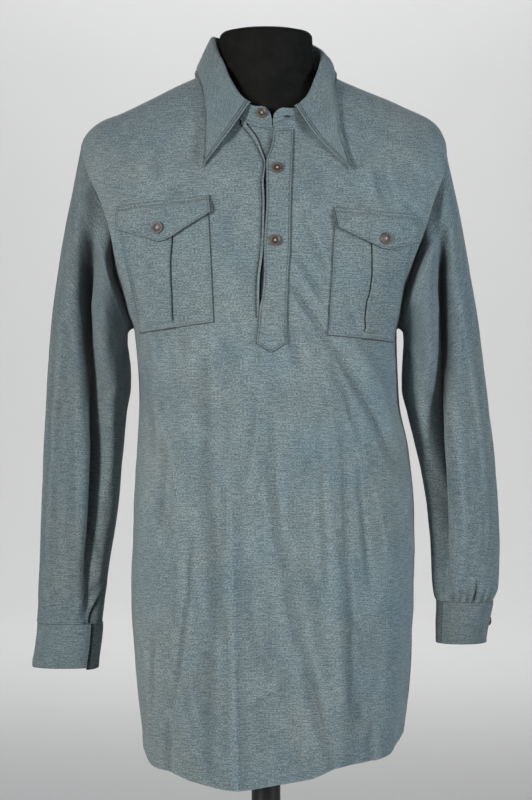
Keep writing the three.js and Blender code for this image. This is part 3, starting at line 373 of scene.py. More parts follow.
def addNode(tree, kind, inputs=None, **settings):
    made = tree.nodes.new(kind)
    for key, value in settings.items():
        setattr(made, key, value)
    for key, value in (inputs or {}).items():
        if isinstance(value, bpy.types.NodeSocket):
            tree.links.new(value, made.inputs[key])
        else:
            made.inputs[key].default_value = value
    return made


def newMaterial(name):
    material = bpy.data.materials.new(name)
    material.use_nodes = True
    tree = material.node_tree
    return material, tree, tree.nodes["Principled BSDF"]


def noise(tree, vector, scale, stretch=(1, 1, 1), detail=3.0, rough=0.55):
    mapped = addNode(tree, "ShaderNodeMapping", {"Vector": vector, "Scale": stretch})
    made = addNode(tree, "ShaderNodeTexNoise", {"Vector": mapped.outputs[0], "Scale": scale,
                                               "Detail": detail, "Roughness": rough})
    return made.outputs["Fac"]


def ranged(tree, value, fromLow, fromHigh, toLow, toHigh):
    made = addNode(tree, "ShaderNodeMapRange", {"Value": value, "From Min": fromLow, "From Max": fromHigh,
                                               "To Min": toLow, "To Max": toHigh})
    return made.outputs[0]


def maths(tree, operation, a, b):
    return addNode(tree, "ShaderNodeMath", {0: a, 1: b}, operation=operation).outputs[0]


def blend(tree, factor, a, b, kind="MIX"):
    made = addNode(tree, "ShaderNodeMix", data_type="RGBA", blend_type=kind)
    for key, value in ((0, factor), (6, a), (7, b)):
        if isinstance(value, bpy.types.NodeSocket):
            tree.links.new(value, made.inputs[key])
        else:
            made.inputs[key].default_value = value
    return made.outputs[2]


clothLook = dict(
    dark=(0.088, 0.124, 0.137, 1), base=(0.152, 0.201, 0.219, 1), pale=(0.252, 0.312, 0.328, 1),
    warm=(1.14, 1.04, 0.96, 1), cool=(0.80, 0.87, 0.93, 1),
    fleckLong=0.0024, fleckHigh=0.0011, slubLong=0.014, slubHigh=0.0017, grain=0.0009,
    # the entry after toneSize sets the strength of the painted highlight on ridges and painted shade in
    # hollows
    toneSize=0.11, wearAndFoldShading=0.13, bump=0.6, bumpDeep=0.0008, roughness=0.92, sheen=0.2)


def clothMaterial(name, look):
    material, tree, shader = newMaterial(name)
    coords = addNode(tree, "ShaderNodeUVMap", uv_map="cloth").outputs[0]
    place3d = addNode(tree, "ShaderNodeTexCoord").outputs["Object"]
    fleck = noise(tree, coords, 1, (1 / look["fleckLong"], 1 / look["fleckHigh"], 1), 2.0, 0.6)
    slub = noise(tree, coords, 1, (1 / look["slubLong"], 1 / look["slubHigh"], 1), 2.0, 0.5)
    grain = noise(tree, coords, 1 / look["grain"], (1, 1, 1), 1.0, 0.5)
    tone = noise(tree, place3d, 1 / look["toneSize"], (1, 1, 1), 3.0, 0.5)
    wearAndFoldShading = noise(tree, place3d, 22, (1, 1, 1), 4.0, 0.6)
    mixed = maths(tree, "ADD", maths(tree, "MULTIPLY", fleck, 0.55), maths(tree, "MULTIPLY", slub, 0.25))
    mixed = maths(tree, "ADD", mixed, maths(tree, "MULTIPLY", grain, 0.2))
    colour = blend(tree, ranged(tree, mixed, 0.435, 0.505, 0, 1), look["dark"], look["base"])
    colour = blend(tree, ranged(tree, mixed, 0.50, 0.575, 0, 0.85), colour, look["pale"])
    colour = blend(tree, ranged(tree, tone, 0.42, 0.60, 0, 0.7), colour, look["warm"], "MULTIPLY")
    colour = blend(tree, ranged(tree, wearAndFoldShading, 0.48, 0.68, 0, 0.7), colour, look["cool"], "MULTIPLY")
    # Painted highlight on ridges and painted shade in hollows, from the fold mark; it also darkens whole
    # pieces with painted shade
    fold = addNode(tree, "ShaderNodeAttribute", attribute_name="fold").outputs["Fac"]
    folded = ranged(tree, fold, -1, 1, 1 - look["wearAndFoldShading"], 1 + look["wearAndFoldShading"])
    colour = blend(tree, 1.0, colour, folded, "MULTIPLY")
    edge = addNode(tree, "ShaderNodeAttribute", attribute_name="edge").outputs["Fac"]
    rubbed = maths(tree, "MULTIPLY", ranged(tree, edge, 0, 2.2, 0.30, 0),
                   ranged(tree, wearAndFoldShading, 0.35, 0.6, 0.3, 1))
    colour = blend(tree, rubbed, colour, look["pale"])
    # Painted shade: the colour goes towards near black wherever this mark is set, in grooves, slots, gaps and
    # shaded parts
    paintedShade = addNode(tree, "ShaderNodeAttribute", attribute_name="paintedShade").outputs["Fac"]
    colour = blend(tree, paintedShade, colour, (0.006, 0.008, 0.009, 1))
    tree.links.new(colour, shader.inputs["Base Color"])
    rough = maths(tree, "ADD", maths(tree, "MULTIPLY", fleck, -0.12), look["roughness"] + 0.06)
    tree.links.new(rough, shader.inputs["Roughness"])
    shader.inputs["Sheen Weight"].default_value = look["sheen"]
    shader.inputs["Sheen Roughness"].default_value = 0.5
    shader.inputs["Specular IOR Level"].default_value = 0.2
    bump = addNode(tree, "ShaderNodeBump", {"Height": mixed, "Strength": look["bump"],
                                           "Distance": look["bumpDeep"]})
    soft = addNode(tree, "ShaderNodeBump", {"Height": wearAndFoldShading, "Strength": 0.25, "Distance": 0.004,
                                           "Normal": bump.outputs[0]})
    tree.links.new(soft.outputs[0], shader.inputs["Normal"])
    return material


def speckledMaterial(name, dark, light, size, roughness, metallic=0.0, bump=0.2, specular=0.5):
    material, tree, shader = newMaterial(name)
    coords = addNode(tree, "ShaderNodeTexCoord").outputs["Object"]
    cloudy = noise(tree, coords, 1 / size, (1, 1, 1), 5.0, 0.6)
    fine = noise(tree, coords, 9 / size, (1, 1, 1), 3.0, 0.6)
    colour = blend(tree, ranged(tree, cloudy, 0.35, 0.65, 0, 1), dark, light)
    tree.links.new(colour, shader.inputs["Base Color"])
    rough = ranged(tree, fine, 0.3, 0.7, roughness - 0.06, roughness + 0.06)
    tree.links.new(rough, shader.inputs["Roughness"])
    shader.inputs["Metallic"].default_value = metallic
    shader.inputs["Specular IOR Level"].default_value = specular
    bumpNode = addNode(tree, "ShaderNodeBump", {"Height": fine, "Strength": bump, "Distance": size / 40})
    tree.links.new(bumpNode.outputs[0], shader.inputs["Normal"])
    return material


greyCloth = clothMaterial("greyCloth", clothLook)
greyThread = speckledMaterial("greyThread", (0.13, 0.17, 0.18, 1), (0.24, 0.29, 0.29, 1), 0.004, 0.85)
paleThread = speckledMaterial("paleThread", (0.50, 0.52, 0.50, 1), (0.75, 0.76, 0.72, 1), 0.003, 0.8)
brownButton = speckledMaterial("brownButton", (0.060, 0.038, 0.032, 1), (0.150, 0.105, 0.090, 1), 0.006, 0.45)
buttonDish = speckledMaterial("buttonDish", (0.030, 0.018, 0.016, 1), (0.070, 0.048, 0.042, 1), 0.004, 0.5)
blackForm = speckledMaterial("blackForm", (0.0045, 0.0045, 0.0042, 1), (0.009, 0.009, 0.008, 1), 0.02, 0.8,
                             bump=0.12, specular=0.15)
blackPaint = speckledMaterial("blackPaint", (0.008, 0.008, 0.008, 1), (0.016, 0.016, 0.015, 1), 0.03, 0.42,
                              bump=0.08)
print("materials made")


# Body panels

panelCells = dict(across=9, vent=7, skirt=8, chest=6, ventCells=5, skirtCells=7, chestCells=14, thick=1.2,
                  beside=[0.03, 0.06, 0.09, 0.16, 0.19, 0.26, 0.3, 0.38, 0.5])


def shoulderTopX(x):
    return bySide(x, shoulderLine["right"]["x"][-1], shoulderLine["left"]["x"][-1])


def topPoints(s, count, angles, front):
    cells = body["shoulderCells"]
    inNeck = (s >= cells) & (s <= count - cells)
    turn = np.interp(s, np.arange(cells, count - cells + 1), angles)
    f = np.clip(np.where(s < cells, 1 - s / cells, (s - count + cells) / cells), 0, 1)
    share = 1 - (1 - f) ** body["crowding"]
    sign = np.where(s < cells, -1, 1) * (1 if front else -1)
    x = sign * mix(neck["half"], shoulderTopX(sign), share)
    shoulder = vec(x, body["ridgeY"], ridgeZ(x))
    return np.where(inNeck[:, None], neckline(turn), shoulder), inNeck


def panelGrid(front):
    angles = frontNeckAngles if front else backNeckAngles
    facing = 1 if front else -1
    count = len(angles) - 1 + 2 * body["shoulderCells"]
    cells = panelCells
    s = np.linspace(0, count, count * cells["across"] + 1)
    if front:
        s = np.unique(np.round(np.concatenate([s, body["slitColumn"] - np.array(cells["beside"])]), 4))
    low = mix(-90.0, 90.0, s / count)
    if front:
        low = low + body["slitShift"] * bell(low, 0, 25) * np.cos(np.radians(low))
    share = np.sin(np.radians(low)) * facing
    line = hems[front]
    corner = np.maximum(0, (np.abs(share) - body["hemStart"]) / (1 - body["hemStart"]))
    hemZ = read(line, "x", share, "z") + body["hemRise"] * corner**2
    # Below the armpits
    ventRows = np.linspace(0, 1, cells["ventCells"] * cells["vent"] + 1)[:-1, None]
    skirtRows = np.linspace(0, 1, cells["skirtCells"] * cells["skirt"] + 1)[:-1, None]
    z = np.concatenate([mix(hemZ, body["ventTop"], ventRows),
                        mix(body["ventTop"], body["armpitZ"], skirtRows) + 0 * s])
    x = share * edgeX(share + 0 * z, z)
    grid = vec(x, depth(x, z, front), z)
    cosLow = np.maximum(0, np.cos(np.radians(low)))
    out = vec(share, -facing * cosLow, 0 * share)
    for at, width, rise, topZ in skirtFolds[front]:
        near = np.exp(-(((low * facing - at) / width) ** 2)) * np.sqrt(cosLow)
        grown = smooth(topZ - z, 0, topZ - hems[True]["z"][0])
        grid = grid + out * (rise * near * grown)[..., None]
    opened = smooth(body["ventTop"] - z, 0, 90)
    side = (np.arange(len(s)) == 0) | (np.arange(len(s)) == len(s) - 1)
    nearSide = smooth(np.abs(low), 84, 90)
    grid[..., 1] -= facing * body["ventHalfGap"] * opened * nearSide
    if not front:
        grid[..., 0] += body["backFlare"] * opened * np.maximum(0, share) ** 4
    # Beside the armholes
    q = np.linspace(0, 1, cells["chestCells"] * cells["chest"] + 1)[:, None]
    top, inNeck = topPoints(s, count, angles, front)
    eased = (1 - np.cos(np.pi * q)) / 2
    topShare = top[:, 0] / shoulderTopX(top[:, 0])
    climb = mix(q, eased, np.where(inNeck, smooth(np.abs(topShare), 0.1, 0.33), 1))
    z = mix(body["armpitZ"], top[:, 2], climb)
    lastZ = bySide(share, shoulderLine["right"]["z"][-1], shoulderLine["left"]["z"][-1])
    edge = edgeX(share + 0 * z, mix(body["armpitZ"], lastZ, eased))
    x = edge * mix(share, topShare, smooth(q, 0, 0.8))
    if front:
        k = int(np.searchsorted(s, body["slitColumn"]))
        shift = read(slitEdge, "z", z[:, k], "x") - x[:, k]
        x = x + shift[:, None] * np.clip(1 - np.abs(s - body["slitColumn"]) / 1.0, 0, 1)
    chest = vec(x, depth(x, z, front), z)
    chest[-1] = top
    return np.concatenate([grid, chest]), s


def panelUv(grid):
    x, z = grid[..., 0], grid[..., 2]
    half = edgeX(x, z) * read(bodyLevels, "z", z, "flare") * 1.02
    return vec(half * np.arcsin(np.clip(x / half, -1, 1)), z)


panels = {}
for front in (True, False):
    name = "front" if front else "back"
    grid, s = panelGrid(front)
    first, last, low, high = edgeDistances(grid)
    side = np.minimum(first, last)
    normals = gridNormals(grid)
    relief = clothRelief(grid[..., 0], grid[..., 2], front) * smooth(side, 0, 16) * smooth(high, 0, 26)
    turned = np.where(low < 13, 0.5, 0) * smooth(side, 0, 10)  # the hem's turned up band
    marks = {"edge": np.minimum(np.minimum(side, low), high), "paintedShade": 0 * low}
    if front:  # the doubled edge beside the slit, on the wearer's right
        inside = read(slitEdge, "z", grid[..., 2], "x") - grid[..., 0]
        band = read(slitEdge, "z", grid[..., 2], "band")
        beside = (inside > -0.5) & (inside < 25) & (grid[..., 2] > body["slitBottomZ"] + 6)
        turned = turned + np.where(beside, 0.7 * (1 - smooth(inside, band, band + 0.8)), 0)
        turned = turned - np.where(beside, 0.5 * np.exp(-(((inside - band - 1.2) / 1.3) ** 2)), 0)
        # Painted shade: a dark line in the slot beside the doubled edge, with a softer painted shadow beside
        # it
        marks["paintedShade"] = np.where(beside, 0.85 * np.exp(-(((inside - band - 0.5) / 0.55) ** 2))
                                 + 0.3 * np.exp(-(((inside - band - 2) / 2.5) ** 2)), 0)
        marks["edge"] = np.minimum(marks["edge"], np.where(beside, np.abs(inside - 0.6), 60))
    outer = grid + normals * (relief + turned)[..., None]
    # Painted highlight on the relief's ridges and painted shade in its hollows
    marks["fold"] = np.clip(0.75 * proud(relief) + relief / 8, -1, 1)
    kept = np.ones((len(grid) - 1, len(s) - 1), bool)
    if front:
        columns = (s[:-1] >= body["slitColumn"]) & (s[:-1] < body["slitColumn"] + 1)
        atSlit = grid[:-1, np.searchsorted(s, body["slitColumn"]), 2]
        kept[:, columns] = (atSlit < body["slitBottomZ"])[:, None]
    panels[name] = dict(outer=outer, normals=gridNormals(outer))
    piece = makeShell(name + "Panel", outer, panelCells["thick"], greyCloth, panelUv(grid), marks, kept=kept)
    panels[name]["piece"] = place(piece, "cloth", name)
print("body panels made")


# Sleeves

ringNames = "outX outZ inX inZ mid half valley valleyAt hollow"
sleeveRings = {
    "right": table(ringNames, [
        (231, 1065, 164, 833, 0, 66, 0, 292, 0), (240, 1012, 172, 829, 0, 66, 0.22, 290, 0.05),
        (250, 962, 173, 816, 0, 66, 0.55, 285, 0.15), (259, 912, 171, 802, 0, 64, 0.68, 277, 0.25),
        (266, 860, 169, 784, -1, 61, 0.74, 271, 0.3), (271, 805, 169, 762, -2, 57, 0.77, 260, 0.35),
        (274, 744, 174, 730, -4, 53, 0.78, 250, 0.35), (276, 680, 178, 680, -6, 49, 0.74, 242, 0.32),
        (278, 612, 184, 612, -9, 45, 0.64, 239, 0.28), (280, 548, 194, 548, -12, 41, 0.5, 239, 0.2),
        (283, 500, 200, 500, -14, 37, 0.3, 236, 0.1), (284, 470, 203, 470, -15, 33, 0.12, 234, 0)]),
    "left": table(ringNames, [
        (225, 1052, 163, 833, 0, 66, 0, 294, 0), (235, 1006, 171, 829, 0, 66, 0.16, 292, 0.05),
        (245, 956, 172, 816, 0, 66, 0.4, 284, 0.15), (255, 904, 171, 801, 0, 64, 0.56, 277, 0.25),
        (264, 850, 170, 782, -1, 61, 0.66, 273, 0.3), (271, 795, 170, 760, -2, 58, 0.72, 263, 0.35),
        (277, 738, 177, 728, -4, 54, 0.72, 247, 0.35), (283, 676, 189, 676, -6, 50, 0.64, 233, 0.3),
        (287, 616, 200, 616, -9, 46, 0.5, 226, 0.25), (289, 560, 205, 560, -12, 43, 0.34, 224, 0.2),
        (288, 514, 207, 514, -14, 39, 0.18, 224, 0.1), (280, 497, 212, 497, -15, 31, 0.06, 224, 0)])}
for rings in sleeveRings.values():
    rings["i"] = np.arange(len(rings["outX"]), dtype=float)
sleeveSizes = dict(rows=150, power=2.1, valleyWidth=13, hollowAt=95, hollowWidth=26, blend=3.2, thick=1.2,
                   gatherRise=1.7, gatherCount=26, slitAt=222, slitTop=9.2, slitEnd=9.5)
armholeGroove = table("turn depth", [
    (0, 0), (182, 3), (205, 8), (230, 13), (250, 20), (272, 20), (292, 13), (312, 4), (330, 0), (360, 0)])
slitShear = table("at front back", [
    (0, 0, 0), (7.8, 0, 0), (9.3, -32, -32), (9.93, -7, -1), (10.73, 7, 13), (11, 7, 14)])
# Creases on the sleeves: from turn and ring, to turn and ring, half width in degrees, rise and bend
sleeveCreases = {
    "right": [
        (300, 2.5, 318, 9.5, 9, 2.4, 6), (322, 3.2, 336, 8.5, 9, -1.8, -5), (228, 4, 218, 8, 9, 1.8, 3),
        (286, 6, 262, 10.6, 9, -2.0, 4), (340, 5, 350, 10, 10, 1.4, 0), (210, 2.5, 196, 6, 10, -1.8, 4),
        (60, 3, 48, 9, 12, 2.0, 5), (120, 4, 132, 10, 11, -1.8, -4), (30, 5, 22, 10, 9, -1.6, 3),
        (150, 2, 160, 7, 10, 1.6, 0), (80, 8, 110, 10.5, 9, 1.2, 0)],
    "left": [
        (286, 9.6, 281, 11.1, 3.2, -3.2, 0), (298, 2.5, 308, 9.0, 8, 2.2, 5),
        (318, 3.5, 326, 8.0, 9, -1.8, -4), (270, 4.5, 262, 9.5, 7, 2.2, 4), (226, 4, 214, 8, 9, 1.8, 3),
        (345, 5, 352, 10, 10, 1.4, 0), (205, 2.5, 192, 6, 10, -1.8, 4), (62, 3, 50, 9, 12, 2.0, 5),
        (118, 4, 130, 10, 11, -1.8, -4), (28, 5, 20, 10, 9, -1.6, 3), (150, 2, 162, 7, 10, 1.6, 0),
        (84, 8, 108, 10.5, 9, 1.2, 0)]}


def ringPoint(ring, turn, sign):
    # ring holds arrays or numbers, turn is in degrees from the outer side over the back
    c, s = np.cos(np.radians(turn)), np.sin(np.radians(turn))
    away = lambda at: np.abs((turn - at + 540) % 360 - 180)
    sizes = sleeveSizes
    fold = (ring.get("valley", 0) * bell(away(ring.get("valleyAt", 0)), 0, sizes["valleyWidth"])
            + ring.get("hollow", 0) * bell(away(sizes["hollowAt"]), 0, sizes["hollowWidth"]))
    along = np.sign(c) * np.abs(c) ** (2 / sizes["power"]) * (1 - fold)
    across = np.sign(s) * np.abs(s) ** (2 / sizes["power"]) * (1 - fold)
    x = (ring["outX"] + ring["inX"]) / 2 + (ring["outX"] - ring["inX"]) / 2 * along
    z = (ring["outZ"] + ring["inZ"]) / 2 + (ring["outZ"] - ring["inZ"]) / 2 * along
    return vec(sign * x, ring["mid"] + ring["half"] * across, z)


def armhole(side):
    # From the shoulder over the back to the armpit and up the front again
    first = panelCells["chestCells"] * panelCells["chest"] + 1
    front, back = panels["front"]["outer"][-first:], panels["back"]["outer"][-first:]
    frontEdge, backEdge = (front[:, -1], back[:, 0]) if side == "left" else (front[:, 0], back[:, -1])
    return np.concatenate([backEdge[::-1], frontEdge[1:-1]])


sleeves = {}
for side, sign in (("right", -1), ("left", 1)):
    loop = armhole(side)
    rings = sleeveRings[side]
    turn = 360 * np.arange(len(loop)) / len(loop)
    at = np.linspace(0, len(rings["i"]) - 1, sleeveSizes["rows"])[:, None]
    ring = {name: read(rings, "i", at, name) for name in ringNames.split()}
    start = ringPoint({name: rings[name][0] for name in ringNames.split()}, turn, sign)
    leaving = (1 - smooth(at, 0, sleeveSizes["blend"]))[..., None]
    bent = turn + 0 * at
    if side == "right":  # the columns lean so that one gap between them follows the cuff's slit
        inFront = turn > sleeveSizes["slitAt"]
        shear = np.where(inFront, read(slitShear, "at", at, "front"), read(slitShear, "at", at, "back"))
        bent = bent + shear * bell(turn, sleeveSizes["slitAt"], 42)
    grid = ringPoint(ring, bent, sign) + (loop - start) * leaving
    facing = gridNormals(ringPoint(ring, turn + 0 * at, sign) + (loop - start) * leaving, True) * -sign
    relief = creaseRise(turn + 0 * at, at * 12, [(a, b * 12, c, d * 12, e, f, g)
                                                for a, b, c, d, e, f, g in sleeveCreases[side]])
    wave = np.radians(turn)
    noisy = lambda k, size, height, seed: height * softNoise(3 + k * np.cos(wave),
                                                             at * size + k * np.sin(wave), seed)
    relief = relief + noisy(3.2, 0.8, 1.2, 51) + noisy(6.5, 1.9, 0.6, 52) + noisy(14, 5, 0.2, 53)
    if side == "left":  # gathered into the cuff
        ripple = np.sin(np.radians(turn * sleeveSizes["gatherCount"] + 80 * softNoise(turn / 40, 0, 61)))
        uneven = 0.6 + 0.5 * softNoise(turn / 25, 3, 62)
        relief = relief + sleeveSizes["gatherRise"] * ripple * uneven * smooth(at, 9.6, 10.7)
    relief = relief * smooth(at, 0.0, 0.8) * (1 - smooth(at, 10.85, 11))
    depthNow = read(armholeGroove, "turn", turn, "depth")
    groove = depthNow * smooth(at, 0, 0.14) * (1 - smooth(at, 0.25, 1.0))
    # Painted shade in the armhole's groove and along one side of the sleeve's valley
    paintedShade = 0.95 * np.clip(depthNow / 11, 0, 1) * smooth(at, 0, 0.02) * (1 - smooth(at, 0.14, 0.5))
    shade = 0.9 * smooth(ring["valley"], 0.05, 0.4) * (1 - 0.6 * smooth(at, 6, 9.5))
    narrow = 8.5 - 5 * smooth(at, 5, 9)
    paintedShade = np.maximum(paintedShade, shade * np.exp(-(((turn - ring["valleyAt"] - 0.8 * narrow) / narrow) ** 2)))
    # Painted shade over the whole sleeve, heavier on the right one
    paintedShade = np.maximum(paintedShade, 0.18 if side == "right" else 0.1)
    relief = relief - groove
    opened = smooth(at, sleeveSizes["slitTop"], sleeveSizes["slitEnd"]) * (side == "right")
    lip = turn - sleeveSizes["slitAt"]
    relief = relief + opened * np.where(lip > 0, 0.8 * bell(lip, 0, 7), -4.5 * bell(lip, 0, 14))
    # Painted shade in the opening behind the cuff's slit
    paintedShade = np.maximum(paintedShade, opened * np.where(lip > 0, 0, 0.95 * bell(lip, 0, 13)))
    relief = relief * (1 - smooth(at, 10.9, 11))
    if side == "left":
        # Painted shade in the creases of the gathers just above the cuff
        gatherCreaseShade = np.clip(softNoise(turn / 2.6, 0, 63), 0, 1) * smooth(at, 10.72, 10.95)
        paintedShade = np.maximum(paintedShade, 0.75 * gatherCreaseShade * ((turn > 200) & (turn < 350)))
    grid, relief, paintedShade, facing = grid[::-1], relief[::-1], paintedShade[::-1], facing[::-1]
    order = np.arange(len(loop)) if sign > 0 else np.concatenate([[0], np.arange(len(loop) - 1, 0, -1)])
    grid, relief, paintedShade, facing = grid[:, order], relief[:, order], paintedShade[:, order], facing[:, order]
    outer = grid + facing * relief[..., None]
    fromTop = walkedAlong(outer[::-1], 0)[::-1]
    around = walkedAlong(np.concatenate([outer, outer[:, :1]], 1), 1)[:, :-1]
    middleAt = int(np.argmin(np.abs(turn[order] - 270)))
    uv = vec(around - around[:, middleAt:middleAt + 1], -fromTop[:, middleAt:middleAt + 1] + 0 * around)
    # The middle mark is painted shade; the fold mark paints ridges lighter and hollows darker and puts
    # painted shade over the whole sleeve
    marks = {"edge": np.minimum(fromTop, walkedAlong(outer, 0)), "paintedShade": paintedShade,
             "fold": 0.75 * proud(relief) + np.clip(relief / 8, -0.4, 0.4) - 0.45}
    kept = np.ones((len(outer) - 1, len(loop)), bool)
    if side == "right":
        behind = turn[order] < sleeveSizes["slitAt"]
        gap = int(np.flatnonzero(np.roll(behind, -1) & ~behind)[0])
        kept[:, gap] = at[::-1][:-1, 0] < sleeveSizes["slitTop"]
    piece = makeShell("sleeve" + side.title(), outer, sleeveSizes["thick"], greyCloth, uv, marks, closed=True,
                      kept=kept, normals=facing if side == "right" else None)
    place(piece, "cloth", "sleeve_" + side)
    sleeves[side] = dict(outer=outer, normals=gridNormals(outer, True), piece=piece)
print("sleeves made")


# Cuffs

cuffSizes = dict(cells=110, lapTurn=60, thick=1.5, edge=[0, 0.7, 1.5, 2.4, 3.4, 4.8], rows=14)
cuffs = {
    "right": dict(start=229, end=585, lap=-3.5, flat=(0.245, 0.058), area=0.0127, rings=table(
        "z outX inX mid half", [(415.5, 290.5, 207, -16, 30), (442, 287, 204, -15.5, 32),
                                (469.6, 284.5, 202, -15, 33.5)])),
    "left": dict(start=12, end=396, lap=2.6, flat=(0.225, 0.053), area=0.0112, rings=table(
        "z outX inX mid half", [(445.5, 272, 211, -16, 30), (471, 276, 211, -15.5, 31),
                                (496.6, 280.5, 211.5, -15, 31.5)]))}


def cuffRing(cuff, z, stand=0.0):
    ring = {name: read(cuff["rings"], "z", z, name) for name in ("outX", "inX", "mid", "half")}
    return {"outX": ring["outX"] + stand, "inX": ring["inX"] - stand, "mid": ring["mid"],
            "half": ring["half"] + stand, "outZ": z, "inZ": z}


for side, sign in (("right", -1), ("left", 1)):
    cuff = cuffs[side]
    turn = np.linspace(cuff["start"], cuff["end"], cuffSizes["cells"] + 1)
    zs = np.linspace(cuff["rings"]["z"][0], cuff["rings"]["z"][-1], 30)[:, None]
    lapFrom = cuff["end"] - cuffSizes["lapTurn"]
    stand = cuff["lap"] * smooth(turn, lapFrom, lapFrom + cuffSizes["lapTurn"] / 2)
    grid = ringPoint(cuffRing(cuff, zs + 0 * turn, stand), turn, sign)
    if sign < 0:  # the end that lies under hangs a little lower
        grid[..., 2] -= 2.5 * smooth(turn, 500, 560) * smooth(-zs, -440, -415)
    turnNow = (turn + 0 * zs)[:, ::-1] if sign < 0 else turn + 0 * zs
    if sign < 0:
        grid = grid[:, ::-1]
    grid = spacedRows(grid, cuffSizes["edge"], cuffSizes["edge"], cuffSizes["rows"])
    grid = spaced(grid, cuffSizes["edge"], cuffSizes["edge"], cuffSizes["cells"])
    first, last, low, high = edgeDistances(grid)
    near = np.minimum(np.minimum(first, last), np.minimum(low, high))
    relief = 0.5 * softNoise(first / 24, low / 20, 71) + 0.15 * softNoise(first / 6, low / 8, 72)
    relief = relief * smooth(near, 0, 6) - 0.28 * bell(near, 2.4, 0.9)
    outer = grid + gridNormals(grid) * relief[..., None]
    uv = vec(first, low + 700)
    # Painted shade in the stitch groove, painted shadow along the rim, and painted shade over the whole cuff
    paintedShade = np.maximum(0.35 * bell(near, 2.4, 0.7), 0.7 * bell(near, 0, 0.5))
    paintedShade = np.maximum(paintedShade, 0.22 if sign > 0 else 0.12)
    inner = 214 if sign > 0 else 585
    # Painted shade: the fold mark darkens the whole cuff
    fold = 0 * near - 0.5
    evenTurn = np.linspace(turnNow[0, 0], turnNow[0, -1], len(first[0]))
    columnTurn = np.interp(first[0], walkedAlong(grid, 1)[0], evenTurn)
    if sign > 0:  # painted shade: the under end is darkened into a strip at the inner side
        strip = smooth(columnTurn, 150, 185) * (1 - smooth(columnTurn, inner, inner + 2))
        paintedShade = np.maximum(paintedShade, 0.5 * strip)
        paintedShade = np.maximum(paintedShade, 0.75 * bell(columnTurn, inner, 1.5))
    else:
        # Painted shade at the tip of the under end in the gap, and a painted highlight that lightens the
        # strip before it
        paintedShade = np.maximum(paintedShade, 0.95 * smooth(columnTurn, inner - 17, inner - 11))
        fold = fold + 1.4 * smooth(columnTurn, 530, 545)
    marks = {"edge": near, "paintedShade": paintedShade, "fold": fold}
    piece = makeShell("cuff" + side.title(), outer, cuffSizes["thick"], greyCloth, uv, marks)
    cuff.update(outer=outer, normals=gridNormals(outer), piece=place(piece, "cloth", "cuff_" + side))
print("cuffs made")


# Collar

collarHeights = table("turn height", [
    (0, 26), (16, 20), (32, 11), (42, 11), (60, 19), (90, 24), (135, 38), (180, 43), (225, 42), (270, 43),
    (300, 44), (319, 35), (336, 25.5), (346, 24), (360, 27)])
leafEdge = [(29, 106, None, 1024), (42, 97, None, 1050), (55, 89, None, 1081), (70, 86, None, 1116),
            (90, 88, 8, 1154), (112, 86, 46, 1151), (135, 67, 70, 1153), (158, 35, 80, 1157),
            (180, 0, 83, 1158), (202, -35, 80, 1157), (225, -67, 70, 1153), (248, -88, 46, 1150),
            (270, -89, 8, 1154), (286, -79, None, 1124), (300, -75, None, 1098), (319, -75, None, 1064),
            (344, -78, None, 1028)]
collar = dict(standFrom=7.2, standTo=365.3, endRound=14, endDrop=15, lift=0.6, lean=7.5, roll=2.9,
              rollLift=3.7, clear=3.4, standThick=1.9, leafThick=1.5,
              standFlat=(0.435, 0.047), standArea=0.0146, leafFlat=(0.46, 0.118), leafArea=0.0305,
              rightBow=5.5, leftBow=1.5,
              rows=[0, 0.2, 0.45, 0.7, 0.9], edge=[0, 0.8, 1.6, 2.5, 3.4, 4.4, 5.6, 7, 8.6])


def collarHeight(turn):
    return read(collarHeights, "turn", np.mod(turn, 360), "height")


def foldPoint(turn, height):
    p = neckline(turn)
    lean = 1 - collar["lean"] * height / 30 / neck["half"]
    return vec(p[..., 0] * lean, p[..., 1] * lean, p[..., 2] + height)


def standGrid():
    turn = np.linspace(collar["standFrom"], collar["standTo"], 361)
    fromEnd = np.minimum(turn - collar["standFrom"], collar["standTo"] - turn) * np.pi / 180 * neck["front"]
    across = np.clip(1 - fromEnd / collar["endRound"], 0, 1)
    height = collarHeight(turn) - collar["endDrop"] * (1 - np.sqrt(1 - across**2))
    rise = np.minimum(2, collar["lift"] / np.maximum(0.35, np.abs(np.cos(np.radians(turn)))))
    low = neckline(turn) + vec(0, 0, rise)
    share = np.linspace(0, 1, 25)[:, None, None]
    return mix(low, foldPoint(turn, height), share)


def curveThrough(points, count):
    # A Catmull-Rom curve through rows of points, along the first axis
    padded = np.concatenate([2 * points[:1] - points[1:2], points, 2 * points[-1:] - points[-2:-1]])
    out = []
    for at in np.linspace(0, len(points) - 1 - 1e-6, count):
        i, t = int(at), at - int(at)
        a, b, c, d = padded[i:i + 4]
        out.append(0.5 * (2 * b + (c - a) * t + (2 * a - 5 * b + 4 * c - d) * t**2
                          + (3 * b - a - 3 * c + d) * t**3))
    return np.array(out)


